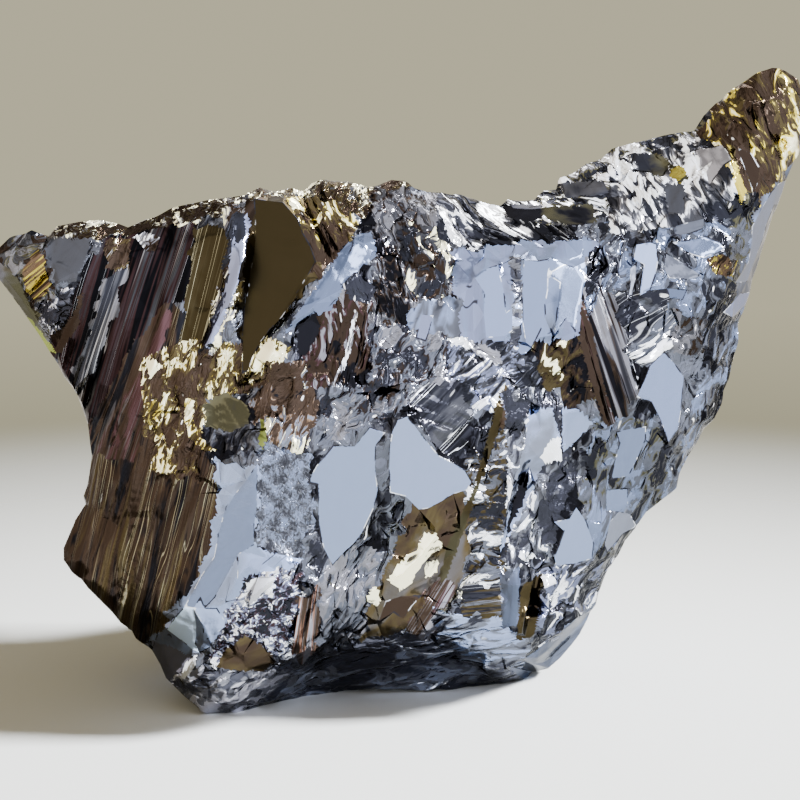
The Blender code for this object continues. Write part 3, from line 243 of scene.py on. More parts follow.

# Smaller shapes, drawn over the areas and the planes. Nearly all are painted light: the cream, snow, white,
# glint and yellow shapes are painted highlights, the black and dark ones painted dark reflections, and the
# others painted reflections in their tints.
MARKS = {
    "sliver": ("232,240 247,214 250,222 243,271 211,350 203,344 228,280", 1.35, "lilac 1", "smooth", 74),
    "sliver, dark end": ("234,214 246,212 245,238 234,246", 1.0, "slate 1", "smooth", 74),
    "rim glint": ("132,238 146,232 160,238 156,252 146,250 140,242",
        1.0, "umber 2, silver 1.4, snow 1.4", "crumple", 60),
    "cream, upper": ("254,362 262,348 270,336 276,352 280,362 268,360 258,368",
        1.3, "cream 1", "smooth", 60),
    "cream, left": ("145,359 154,360 163,366 156,372 150,381", 1.3, "cream 1", "smooth", 60),
    "cream, lower": ("148,402 160,400 164,412 158,424 166,438 160,440 152,422",
        1.2, "olive 0.5, gold 0.6, cream 2", "crumple", 60),
    "cream, run": ("186,398 194,402 192,418 200,436 214,450 206,452 192,440 184,420",
        1.3, "olive 1, gold 0.6, cream 3", "crumple", 60),
    "dimple": ("203,405 225,392 248,404 250,422 232,432 206,426", 1.05, "steel 1, moss 1.2", "smooth", 0),
    "black horn": ("371,210 377,226 364,232 355,228", 0.8, "ink 1", "smooth", 80),
    "leaf": ("356,236 371,231 377,256 362,268 352,276 340,292 330,310 302,322 284,336 300,310 322,278 "
        "342,250", 0.62, "ice 1", "columns", 60),
    "leaf, comb": ("340,284 362,272 376,290 368,304 350,300", 1.3, "slate 3, ice 2", "folds", 110),
    "cup, black": ("298,322 316,312 320,330 308,352 298,358", 1.5, "ink 1", "smooth", 60),
    "cup, line": ("354,312 358,312 351,352 346,366 333,386 330,384 344,358",
        0.9, "umber 1.4, silver 2, snow 0.3", "crumple", 80),
    "rosette": ("271,366 298,363 305,390 286,408 273,396", 1.7, "ink 1.6, umber 4", "crumple", 40),
    "white plate": ("436,202 452,200 468,212 474,236 460,240 446,228",
        1.6, "slate 1.6, steel 0.8, snow 3", "folds", 128),
    "notch, black": ("503,206 540,204 548,214 530,222 508,218", 2.2, "ink 4, olive 1", "smooth", 150),
    "slope, black": ("536,208 592,204 598,222 572,226 548,220",
        0.95, "ink 3, slate 2, moss 1", "smooth", 170),
    "slope, slate": ("560,182 604,180 608,194 566,198", 1.5, "slate 3, steel 1", "smooth", 170),
    "slope, white": ("609,156 630,164 656,190 662,208 652,220 636,206 618,180",
        1.0, "slate 1.6, steel 1, snow 3.8", "crumple", 122),
    "slope, white edge": ("678,134 686,140 694,165 690,192 684,176 686,156", 1.6, "snow 1", "smooth", 80),
    "slope, dark": ("632,156 656,152 670,161 664,177 641,171", 1.0, "slate 3, moss 1", "smooth", 140),
    "slope, yellow": ("668,164 682,166 690,180 680,184 670,176", 0.4, "moss 3, gold 1", "folds", 20),
    "slope, grey": ("664,184 684,184 684,212 668,214", 0.8, "steel 1", "smooth", 80),
    "blade, yellow": ("730,156 738,168 746,192 742,204 735,186", 0.9, "gold 3, cream 2", "smooth", 110),
    "column seam": ("509,258 520,254 523,300 520,348 510,344 513,300",
        2.6, "slate 2, steel 3, frost 2, ice 2", "rubble", 0),
    "column seam, right": ("588,250 600,246 598,300 590,318 584,300",
        0.65, "slate 2, steel 2, ice 2", "rubble", 60),
    "ledge": ("446,340 462,336 476,342 500,352 502,366 488,360 470,350",
        1.25, "slate 1, silver 3, snow 0.9", "folds", 150),
    "toe, mirror": ("247,582 262,575 276,578 270,588 248,608", 1.5, "silver 1, snow 6", "smooth", 60),
    "toe, olive": ("216,668 224,650 246,636 266,650 276,662 262,672",
        1.8, "umber 1.6, olive 4, steel 0.6", "smooth", 30),
    "toe, black": ("150,640 170,646 192,657 176,676 164,682", 24, "ink 1", "smooth", 30),
    "toe, white": ("180,680 184,664 198,655 192,672", 1.6, "snow 1", "smooth", 60),
    "cup, cream": ("388,580 402,560 416,550 425,532 436,534 444,545 428,558 416,572 411,584 400,590",
        1.3, "cream 1", "smooth", 58),
    "cup, small cream": ("427,563 439,561 436,574 425,577", 1.2, "cream 1", "smooth", 58),
    "cup, glint": ("366,600 374,586 382,592 378,606", 1.3, "cream 1", "smooth", 58),
    "olive blade": ("500,392 503,410 499,430 477,493 447,577 438,585 446,548 474,486 488,438",
        0.65, "olive 5, moss 1", "smooth", 70),
    "silver blade": ("530,408 552,408 562,445 540,470 534,488 518,520 500,552 504,530 515,477 524,445",
        1.6, "frost 1, ice 4", "smooth", 74),
    "black blade": ("523,470 529,476 523,503 506,538 508,518", 1.6, "ink 1", "smooth", 74),
    "white step": ("541,457 550,440 560,436 562,460 546,464", 1.0, "snow 1", "smooth", 60),
    "blue step": ("562,408 578,408 594,422 580,437 563,452", 1.3, "ice 1", "smooth", 60),
    "olive post": ("522,586 541,573 538,620 532,638 516,640", 0.9, "umber 1, olive 4", "smooth", 84),
    "pale post": ("500,573 520,566 518,625 503,628", 0.5, "frost 3, ice 1", "smooth", 84),
    "tip, lime": ("26,316 34,322 51,345 57,354 44,348", 0.9, "lime 1", "smooth", 60),
    "hollow, lime": ("260,418 266,424 267,440 262,449 259,436", 0.5, "lime 1", "smooth", 80),
    # A painted reflection in bronze tints.
    "right, bronze reflection": ("706,258 722,255 737,262 732,277 715,275",
        0.42, "umber 3, bronze 2, gold 0.5", "crumple", 60),
    # A painted reflection in bronze tints.
    "fan, bronze reflection": ("582,296 592,330 604,384 615,424 605,426 592,386 580,340",
        1.2, "ink 1, umber 3, plum 1, silver 0.7", "staves", 108.5),
}

# Single planes of the solid: a place on each, its brightness, its tint, its finish. The brightness paints
# how bright the plane's reflection is, so a tint comes in lit and shaded copies from plane to plane.
PLANES = {
    "olive plane": (275, 260, 0.74, "olive", "clouded"),
    "slope, lilac": (713, 152, 2.1, "silver", "smooth"),
    # A painted highlight along the horn.
    "horn, streak": (737, 180, 1.0, "cream", "smooth"),
    "horn, brown": (755, 170, 0.95, "umber", "smooth"),
    "edge, high": (768, 200, 2.1, "frost", "smooth"),
    "edge, low": (737, 300, 1.3, "lilac", "smooth"),
    "roof, left": (688, 228, 1.15, "frost", "smooth"),
    "roof, right": (720, 230, 0.53, "ice", "smooth"),
    "brow": (712, 248, 0.88, "ice", "smooth"),
    "prism": (650, 265, 2.2, "ice", "mirror"),
    "prism, side": (632, 280, 5.2, "frost", "smooth"),
    "gable": (675, 265, 1.75, "frost", "smooth"),
    "gable, low": (675, 293, 0.55, "ice", "smooth"),
    "shelf": (425, 325, 0.9, "lilac", "smooth"),
    "column 2": (497, 305, 1.03, "ice", "mirror"),
    "column 3": (535, 300, 1.0, "ice", "mirror"),
    "column 4": (575, 290, 0.57, "ice", "mirror"),
    "fan, shade": (638, 368, 1.0, "ink", "smooth"),
    "cheek": (670, 385, 0.83, "ice", "mirror"),
    "jaw": (635, 445, 0.79, "ice", "smooth"),
    "jaw, left": (617, 500, 0.82, "ice", "smooth"),
    "jaw, foot": (615, 535, 2.05, "frost", "smooth"),
    "drop": (580, 540, 1.12, "ice", "mirror"),
    "cup, brown": (400, 605, 1.55, "umber", "smooth"),
    "mirror, right": (415, 460, 1.35, "ice", "mirror"),
    "mirror, left": (345, 495, 1.4, "ice", "mirror"),
    "flank, high": (240, 520, 0.89, "ice", "smooth"),
    "flank, middle": (235, 575, 1.6, "ice", "smooth"),
    "flank, low": (188, 630, 4.4, "ice", "smooth"),
    "flank, right": (215, 625, 2.15, "ice", "smooth"),
}

# The hidden sides mirror a plainer room, painted into their tints.
FAR_GRAIN = 78.0
FAR_FINISH = "mirror"
FAR_SMALL_FINISH = "folds"
FAR_PLANE_AREA = 12.0  # a far plane under this, in square millimetres, is a small one
FAR_BANDS = [
    "frost 1, ice 5", "steel 1, frost 3, ice 1", "frost 1, lilac 4", "slate 2, steel 3",
    "steel 2, silver 2", "slate 1, frost 2, ice 2, snow 0.6", "umber 3, moss 2, silver 0.6",
    "ink 1, slate 3, steel 1",
]

PLANE_SPREAD = 0.12  # how far one plane's brightness strays from the next one's
CLOSE_TRIANGLES = 12  # how many are searched for the one under a named place

# How ragged the borders are: the reach of the rags and their size, in the picture.
AREA_RAGS, AREA_RAG_SIZE = 5.0, 9.0
MARK_RAGS, MARK_RAG_SIZE = 1.2, 5.0

# The larger waves of broken ground: how strong each kind is, and how large.
SWAY, SWAY_SIZE = 0.55, 3.1
RIDGE, RIDGE_SIZE = 0.7, 2.4
RIPPLE, RIPPLES_IN_RIDGE = 0.45, 2.3
MELT_STEP = 0.6  # how much of the way to its neighbours' mean a point moves in one pass

# What the random numbers start from.
FAR_BAND_SEED = 5
PLANE_SPREAD_SEED = 52
AREA_RAG_SEED = 61
MARK_RAG_SEED = 71
SWAY_SEEDS = (61, 62, 63)
RIDGE_SEED = 64
RIPPLE_SEED = 65

# The map for the export: the near side as the camera sees it, and the far side, smaller, on its right.
NEAR_MAP, NEAR_MAP_LEFT = 0.58, 0.01
FAR_MAP, FAR_MAP_LEFT = 0.36, 0.62
MAP_TOP = 0.99


def linear(colour):
    """An sRGB colour as linear light."""
    value = np.asarray(colour, float) / 255
    return np.where(value <= 0.04045, value / 12.92, ((value + 0.055) / 1.055) ** 2.4)


def hashed(numbers, seed):
    """A fixed random number from 0 to 1 for each row of whole numbers."""
    mixed = np.full(len(numbers), seed * 2654435761 % 2**32, np.uint64)
    for column in np.asarray(numbers, np.int64).T:
        mixed = (mixed ^ (column.astype(np.uint64) & np.uint64(0xFFFFFFFF))) * np.uint64(0x9E3779B97F4A7C15)
        mixed ^= mixed >> np.uint64(29)
    mixed = mixed * np.uint64(0xBF58476D1CE4E5B9)
    mixed ^= mixed >> np.uint64(32)
    return (mixed & np.uint64(0xFFFFFF)).astype(float) / 0xFFFFFF


def smooth_noise(places, seed):
    """Value noise from -1 to 1, for places in a space of unit cells."""
    base = np.floor(places).astype(np.int64)
    share = places - base
    share = share * share * (3 - 2 * share)
    total = np.zeros(len(places))
    for step in np.ndindex(2, 2, 2):
        weight = np.prod(np.where(step, share, 1 - share), axis=1)
        total += weight * (2 * hashed(base + np.array(step), seed) - 1)
    return total


def corners_of(border):
    """A border's corners, from text such as "600,225 765,200 745,320"."""
    return [tuple(map(float, corner.split(","))) for corner in border.split()]


def shares_of(band):
    """Tints and their shares, from text such as "ink 1.4, umber 6"."""
    return {name: float(share) for name, share in map(str.split, band.split(","))}


def inside(points, border):
    """Which points lie inside a closed border."""
    points = np.asarray(points, float)
    found = np.zeros(len(points), bool)
    for (ax, ay), (bx, by) in zip(border, border[1:] + border[:1]):
        if ay == by:
            continue
        spans = (ay > points[:, 1]) != (by > points[:, 1])
        found ^= spans & (points[:, 0] < (bx - ax) * (points[:, 1] - ay) / (by - ay) + ax)
    return found


def picture(points):
    """Where points in millimetres lie in the picture."""
    rays = points - EYE
    depth = -rays @ BACKWARD
    scale = SIGHT_DISTANCE / depth
    px_per_mm = FRAME_PX / FRAME_WIDTH
    right = FRAME_PX / 2 + rays[:, 0] * scale * px_per_mm
    down = FRAME_PX / 2 - (rays @ SHEET_UP) * scale * px_per_mm
    return np.stack([right, down], 1)


def solid_mesh(node):
    """The node's welded points in millimetres and its triangles."""
    data = node.data
    data.calc_loop_triangles()
    points = np.empty(len(data.vertices) * 3)
    data.vertices.foreach_get("co", points)
    points = points.reshape(-1, 3) / MM
    triangles = np.empty(len(data.loop_triangles) * 3, np.int32)
    data.loop_triangles.foreach_get("vertices", triangles)
    keys = np.round(points / WELD).astype(np.int64)
    _, first, index = np.unique(keys, axis=0, return_index=True, return_inverse=True)
    triangles = index.reshape(-1)[triangles].reshape(-1, 3)
    whole = (triangles[:, 0] != triangles[:, 1]) & (triangles[:, 1] != triangles[:, 2])
    whole &= triangles[:, 0] != triangles[:, 2]
    return points[first], triangles[whole]


def lengths(vectors):
    """Each vector's length."""
    return np.linalg.norm(vectors, axis=1)


def summed(index, rows, count):
    """The sums of the rows that share an index."""
    return np.stack([np.bincount(index, column, count) for column in rows.T], 1)


def normals_of(points, triangles):
    """The triangles' unit normals and their areas."""
    a, b, c = (points[triangles[:, k]] for k in range(3))
    normals = np.cross(b - a, c - a)
    size = lengths(normals)
    return normals / np.maximum(size, 1e-12)[:, None], size / 2


def edges_of(triangles):
    """The mesh's edges, and for each triangle's three sides which edge it is."""
    sides = np.concatenate([triangles[:, [0, 1]], triangles[:, [1, 2]], triangles[:, [2, 0]]])
    edges, index = np.unique(np.sort(sides, axis=1), axis=0, return_inverse=True)
    return edges, index.reshape(-1).reshape(3, -1).T


def planes_of(triangles, normals):
    """Which flat plane each triangle is part of."""
    _, sides = edges_of(triangles)
    order = np.argsort(sides, axis=None, kind="stable")
    owners = (order // 3).reshape(-1, 2)
    level = (normals[owners[:, 0]] * normals[owners[:, 1]]).sum(1) > COPLANAR
    group = np.arange(len(triangles))

    def root(i):
        while group[i] != i:
            group[i] = group[group[i]]
            i = group[i]
        return i

    for a, b in owners[level]:
        group[root(a)] = root(b)
    return np.unique([root(i) for i in range(len(triangles))], return_inverse=True)[1]


def divided(points, triangles, tags, middle):
    """The triangles cut at the new points in the middle of their sides, -1 where a side stays whole."""
    made, made_tags = [], []

    def keep(chosen, *corners):
        made.append(np.stack(corners, 1)[chosen])
        made_tags.append(tags[chosen])

    for turn in range(3):
        a, b, c = (triangles[:, (turn + k) % 3] for k in range(3))
        ab, bc, ca = (middle[:, (turn + k) % 3] for k in range(3))
        one = (ab >= 0) & (bc < 0) & (ca < 0)
        keep(one, a, ab, c)
        keep(one, ab, b, c)
        two = (ab >= 0) & (bc >= 0) & (ca < 0)
        keep(two, ab, b, bc)
        short = np.zeros(len(a), bool)
        short[two] = lengths(points[a[two]] - points[bc[two]]) < lengths(points[ab[two]] - points[c[two]])
        keep(two & short, a, ab, bc)
        keep(two & short, a, bc, c)
        keep(two & ~short, a, ab, c)
        keep(two & ~short, ab, bc, c)
    a, b, c = triangles.T
    ab, bc, ca = middle.T
    for corners in ((a, ab, ca), (ab, b, bc), (ca, bc, c), (ab, bc, ca)):
        keep((middle >= 0).all(1), *corners)
    keep((middle < 0).all(1), a, b, c)
    return np.concatenate(made), np.concatenate(made_tags)


def refined(points, triangles, tags, longest):
    """Halves every edge that is longer than its triangles allow, until none is."""
    while True:
        edges, sides = edges_of(triangles)
        allowed = np.full(len(edges), np.inf)
        np.minimum.at(allowed, sides.reshape(-1), np.repeat(longest[tags], 3))
        ends = points[edges]
        split = lengths(ends[:, 0] - ends[:, 1]) > allowed
        if not split.any():
            return points, triangles, tags
        middle = np.full(len(edges), -1)
        middle[split] = len(points) + np.arange(split.sum())
        points = np.concatenate([points, ends[split].mean(1)])
        triangles, tags = divided(points, triangles, tags, middle[sides])


class Planes:
    """The flat planes of the solid."""

    def __init__(self, points, triangles):
        normals, areas = normals_of(points, triangles)
        self.tags = planes_of(triangles, normals)
        self.count = self.tags.max() + 1
        self.area = np.bincount(self.tags, areas, self.count)
        middles = points[triangles].mean(1)
        middle = summed(self.tags, areas[:, None] * middles, self.count) / self.area[:, None]
        normal = summed(self.tags, areas[:, None] * normals, self.count)
        normal /= lengths(normal)[:, None]
        self.near = (normal * (EYE - middle)).sum(1) > 0
        self.base = middle[:, 2] < BASE_LEVEL
        self.named = self.found(points, triangles)

    def found(self, points, triangles):
        """Which plane each entry of PLANES is."""
        seen = np.flatnonzero(self.near[self.tags])
        corners = picture(points[triangles[seen]].reshape(-1, 3)).reshape(-1, 3, 2)
        middles = corners.mean(1)
        named = {}
        for name, (right, down, *_) in PLANES.items():
            place = np.array([[right, down]], float)
            order = np.argsort(((middles - place) ** 2).sum(1))[:CLOSE_TRIANGLES]
            hits = [i for i in order if inside(place, [tuple(c) for c in corners[i]])[0]]
            named[name] = self.tags[seen[hits[0] if hits else order[0]]]
        return named


class Looks:
    """What each triangle of the refined mesh is like."""

    def __init__(self, spots, tags, planes):
        count = len(tags)
        self.kind = np.full(count, list(FINISHES).index(FAR_FINISH))
        self.grain = np.full(count, FAR_GRAIN)
        self.tone = np.ones(count)
        self.tints = np.zeros((count, BAND_SIZE), int)
        self.steps = np.ones((count, BAND_SIZE - 1))
        self.whole = np.zeros(count, bool)
        self.paint_far(tags, planes)
        near = planes.near[tags]
        self.paint_areas(near, spots + rags(spots, AREA_RAG_SEED, AREA_RAGS, AREA_RAG_SIZE), GROUND)
        self.paint_planes(tags, planes)
        self.paint_areas(near, spots + rags(spots, MARK_RAG_SEED, MARK_RAGS, MARK_RAG_SIZE), MARKS)
        number = np.arange(planes.count)[:, None]
        self.tone *= 1 + PLANE_SPREAD * (2 * hashed(number, PLANE_SPREAD_SEED) - 1)[tags]

    def paint_far(self, tags, planes):
        small = ~planes.near & (planes.area < FAR_PLANE_AREA)
        self.kind[small[tags]] = list(FINISHES).index(FAR_SMALL_FINISH)
        number = np.arange(planes.count)[:, None]
        far_band = (hashed(number, FAR_BAND_SEED) * len(FAR_BANDS)).astype(int) % len(FAR_BANDS)
        for i, band in enumerate(FAR_BANDS):
            self.lay(far_band[tags] == i, shares_of(band))

    def paint_areas(self, near, spots, areas):
        for border, tone, band, finish, grain in areas.values():
            chosen = near & inside(spots, corners_of(border))
            self.lay(chosen, shares_of(band))
            self.kind[chosen] = list(FINISHES).index(finish)
            self.grain[chosen] = grain
            self.tone[chosen] = tone
            self.whole[chosen] = False

    def paint_planes(self, tags, planes):
        for name, (_, _, tone, tint, finish) in PLANES.items():
            chosen = tags == planes.named[name]
            self.lay(chosen, {tint: 1})
            self.kind[chosen] = list(FINISHES).index(finish)
            self.tone[chosen] = tone
            self.whole[chosen] = True

    def lay(self, chosen, band):
        """Gives triangles a band of tints: which they are, and where along the relief each one ends.
        A last tint with no share is for the threads only."""
        never = 2.0  # further along than the relief goes
        rows = [list(PALETTE).index(name) for name in band]
        ends = np.cumsum(list(band.values())) / sum(band.values())
        self.tints[chosen] = rows + [rows[-1]] * (BAND_SIZE - len(rows))
        ends = [never if end == 1.0 else end for end in ends[:-1]]
        self.steps[chosen] = (ends + [never] * BAND_SIZE)[:BAND_SIZE - 1]

    def figures(self, name):
        """One figure of each triangle's finish."""
        return np.array([getattr(finish, name) for finish in FINISHES.values()], float)[self.kind]


def rags(spots, seed, reach, size):
    """A smooth random shift for places in the picture, up to a reach."""
    places = np.concatenate([spots / size, np.zeros((len(spots), 1))], 1)
    return reach * np.stack([smooth_noise(places, seed + k) for k in range(2)], 1)


def flow_axes(grain):
    """Unit ways across the grain, along it and towards the camera."""
    angle = np.radians(grain)[:, None]
    right = np.array([1.0, 0, 0])
    across = np.sin(angle) * right - np.cos(angle) * SHEET_UP
    along = np.cos(angle) * right + np.sin(angle) * SHEET_UP
    return across, along, np.broadcast_to(BACKWARD, across.shape)


def laid(places, looks):
    """The triangles' corners as (across, along, deep), in lengths of their waves."""
    sizes = (looks.figures("across"), looks.figures("along"), looks.figures("along"))
    return np.stack([(places * np.repeat(way, 3, axis=0)).sum(1) / np.repeat(size, 3)
                     for way, size in zip(flow_axes(looks.grain), sizes)], 1)


def melted(points, triangles, passes):
    """Levels the corners, by so many passes at each point. Points move only along the camera's rays."""
    edges, _ = edges_of(triangles)
    ends = np.concatenate([edges[:, 0], edges[:, 1]])
    others = np.concatenate([edges[:, 1], edges[:, 0]])
    neighbours = np.bincount(ends, minlength=len(points))[:, None]
    rays = points - EYE
    rays /= lengths(rays)[:, None]
    for turn in range(int(passes.max())):
        pull = ((summed(ends, points[others], len(points)) / neighbours - points) * rays).sum(1)
        pull[passes <= turn] = 0
        points = points + MELT_STEP * pull[:, None] * rays
    return points


def heaved(flow):
    """Waves of broken ground from about -1 to 1: ridges that the grain draws out."""
    sway = np.stack([smooth_noise(flow / SWAY_SIZE, seed) for seed in SWAY_SEEDS], 1)
    flow = flow / RIDGE_SIZE + SWAY * sway
    ridge = 1 - 2 * np.abs(smooth_noise(flow, RIDGE_SEED))
    return RIDGE * ridge + RIPPLE * smooth_noise(RIPPLES_IN_RIDGE * flow, RIPPLE_SEED)


def least_at(points, corners, figures):
    """For each point the least of its corners' figures."""
    least = np.full(len(points), np.inf)
    np.minimum.at(least, corners, figures)
    return least


def outward_at(points, triangles):
    """Unit ways out of the stone at its points."""
    normals, areas = normals_of(points, triangles)
    outward = summed(triangles.reshape(-1), np.repeat(normals * areas[:, None], 3, axis=0), len(points))
    return outward / np.maximum(lengths(outward), 1e-9)[:, None]


def relief(points, triangles, looks):
    """The points after melting and heaving, inside the solid's own box."""
    low, high = points.min(0), points.max(0)
    corners = triangles.reshape(-1)
    grounded = points[:, 2] < GROUNDED
    passes = least_at(points, corners, np.repeat(looks.figures("melt"), 3))
    height = least_at(points, corners, np.repeat(looks.figures("heave"), 3))
    passes[grounded] = 0
    height[grounded] = 0
    waves = heaved(laid(points[corners], looks))
    waves = np.bincount(corners, waves, len(points)) / np.bincount(corners, minlength=len(points))
    points = melted(points, triangles, passes)
    points = np.clip(points + (height * waves)[:, None] * outward_at(points, triangles), low, high)
    points[~grounded, 2] = np.maximum(points[~grounded, 2], GROUNDED)
    return points


def plane_rims(count, triangles, tags, looks):
    """1 at the points on the rim of a single named plane, 0 elsewhere."""
    corners, corner_tag = triangles.reshape(-1), np.repeat(tags, 3)
    highest = np.zeros(count, int)
    np.maximum.at(highest, corners, corner_tag)
    lowest = np.full(count, tags.max() + 1)
    np.minimum.at(lowest, corners, corner_tag)
    named = np.zeros(count, bool)
    np.logical_or.at(named, corners, np.repeat(looks.whole, 3))
    return (named & (highest != lowest)).astype(float)


def placed(name, data):
    """A new object in the scene."""
    holder = bpy.data.objects.new(name, data)
    bpy.context.scene.collection.objects.link(holder)
    return holder


def mesh_data(points, triangles):
    """The stone's mesh, with smooth faces."""
    data = bpy.data.meshes.new("stone")
    data.vertices.add(len(points))
    data.vertices.foreach_set("co", (points * MM).astype(np.float32).reshape(-1))
    data.loops.add(len(triangles) * 3)
    data.loops.foreach_set("vertex_index", triangles.astype(np.int32).reshape(-1))
    data.polygons.add(len(triangles))
    data.polygons.foreach_set("loop_start", np.arange(len(triangles), dtype=np.int32) * 3)
    data.update(calc_edges=True)
    data.validate()
    data.polygons.foreach_set("use_smooth", np.ones(len(triangles), bool))
    data.set_sharp_from_angle(angle=SHARP)
    return data


def add_attribute(data, name, kind, field, rows):
    """Gives every corner of the mesh its row."""
    attribute = data.attributes.new(name, kind, "CORNER")
    attribute.data.foreach_set(field, np.asarray(rows, np.float32).reshape(-1))


def add_tints(data, looks):
    colours = np.array([linear(c) for c in PALETTE.values()])
    # The painted highlight tints keep their brightness, and the tone of the others paints how bright each
    # area's and plane's reflection is.
    is_painted_glint = np.array([name in PAINTED_GLINTS for name in PALETTE])
    for column in range(BAND_SIZE):
        tone = np.where(is_painted_glint[looks.tints[:, column]], 1.0, TONE * looks.tone)
        tint = np.minimum(colours[looks.tints[:, column]] * tone[:, None], 1.0)
        tint = np.concatenate([tint, np.ones((len(tint), 1))], 1)
        add_attribute(data, f"tint_{column}", "FLOAT_COLOR", "color", np.repeat(tint, 3, axis=0))
    add_attribute(data, "steps", "FLOAT_VECTOR", "vector", np.repeat(looks.steps, 3, axis=0))


def add_figures(data, looks):
    """The figures that the material reads, three to an attribute."""
    for name, parts in (
        ("finish", ("swell", "dull")),
        ("band", ("broken", "crisp", "specks")),
        ("marks", ("threads", "nicks", "wear")),
    ):
        rows = np.zeros((len(looks.kind), 3))
        for column, part in enumerate(parts):
            rows[:, column] = looks.figures(part)
        add_attribute(data, name, "FLOAT_VECTOR", "vector", np.repeat(rows, 3, axis=0))


def add_map(data, places, near):
    seen = picture(places) / FRAME_PX
    size = np.where(near, NEAR_MAP, FAR_MAP)
    left = np.where(near, NEAR_MAP_LEFT, FAR_MAP_LEFT)
    uv = np.stack([seen[:, 0] * size + left, MAP_TOP - seen[:, 1] * size], 1)
    layer = data.uv_layers.new(name="OFBake")
    layer.uv.foreach_set("vector", uv.astype(np.float32).reshape(-1))


def build_stone(node, material):
    points, triangles = solid_mesh(node)
    planes = Planes(points, triangles)
    longest = np.where(planes.near, NEAR_EDGE, FAR_EDGE)
    longest[planes.base] = BASE_EDGE
    points, triangles, tags = refined(points, triangles, planes.tags, longest)
    looks = Looks(picture(points[triangles].mean(1)), tags, planes)
    points = relief(points, triangles, looks)

    data = mesh_data(points, triangles)
    corners = triangles.reshape(-1)
    add_tints(data, looks)
    add_attribute(data, "flow", "FLOAT_VECTOR", "vector", laid(points[corners], looks))
    add_figures(data, looks)
    add_attribute(data, "rim", "FLOAT", "value", plane_rims(len(points), triangles, tags, looks)[corners])
    add_map(data, points[corners], np.repeat(planes.near[tags], 3))
    data.materials.append(material)
    return placed("stone", data)


# The material's patterns. A scale is how fine one is across, along and behind a finish's waves, or in each
# metre for the rim flaws. A shift keeps two patterns apart.
PATTERNS = {
    "drift": {"scale": (0.3, 0.3, 0.3), "shift": 5.0},
    "waves": {"scale": (1.05, 1.05, 1.05), "detail": 1.0, "distortion": 0.7},
    "fine": {"scale": (3.1, 3.1, 3.1), "detail": 1.0, "distortion": 0.8},
    "stray": {"scale": (3.4, 0.5, 0.5), "detail": 2.0},
    "threads": {"scale": (2.2, 0.18, 0.18), "shift": 3.0},
    "thread places": {"scale": (0.5, 0.35, 0.35), "detail": 1.0, "shift": 7.0},
    "nicks": {"scale": (0.8, 4.0, 4.0), "shift": 13.0},
    "nick places": {"scale": (1.3, 2.0, 2.0), "detail": 1.0, "shift": 17.0},
    "rim flaws": {"scale": (420, 420, 420), "detail": 2.0},
}
MIDDLE = 0.5  # the mean of a noise
BEND, BEND_SCALE = 2.6, 0.6  # how far the flow is bent, and the scale of the noise that bends it
CHIP_SCALE = 1.1

# How the relief lays out a band's tints, and how the brightness strays.
FINE_IN_BAND = 0.25
DRIFT_IN_BAND = 0.85
BAND_ENDS = (0.22, 0.78)
FINE_IN_STRAY = 0.8
STRAY_MEAN, STRAY_GAIN = 0.9, 1.6

# Thin marks: painted highlight threads, dark nicks, painted glint specks, and rims that crack or carry a
# painted glint. A pair says from which value of its pattern to which one a mark fades in.
THREAD_WIDTH, THREAD_PLACES = (0.026, 0.012), (0.48, 0.54)
NICK_WIDTH, NICK_PLACES = (0.035, 0.015), (0.60, 0.64)
SPECK_SIZE, SPECK_SHARE = (0.16, 0.11), (0.80, 0.82)
RIM_WIDTH, RIM_CRACKS, RIM_GLINTS = (0.92, 1.12), (0.52, 0.55), (0.43, 0.39)
FLAW_IN_RIM = 0.5
# A crack's colour, then the colours of the painted glints on the specks and on the rims.
CRACK = (0.02, 0.02, 0.026, 1)
PAINTED_SPECK = (0.90, 0.90, 0.90, 1)
RIM_GLINT = (0.62, 0.64, 0.70, 1)

# Gloss and bumps.
EDGE_TINT = (0.5, 0.5, 0.5, 1)
DULL_FROM, DULL_BY_WAVES = 0.4, 1.2
WAVES_RISE, CHIPS_RISE, FINE_RISE = 2.4, 2.4, 0.5


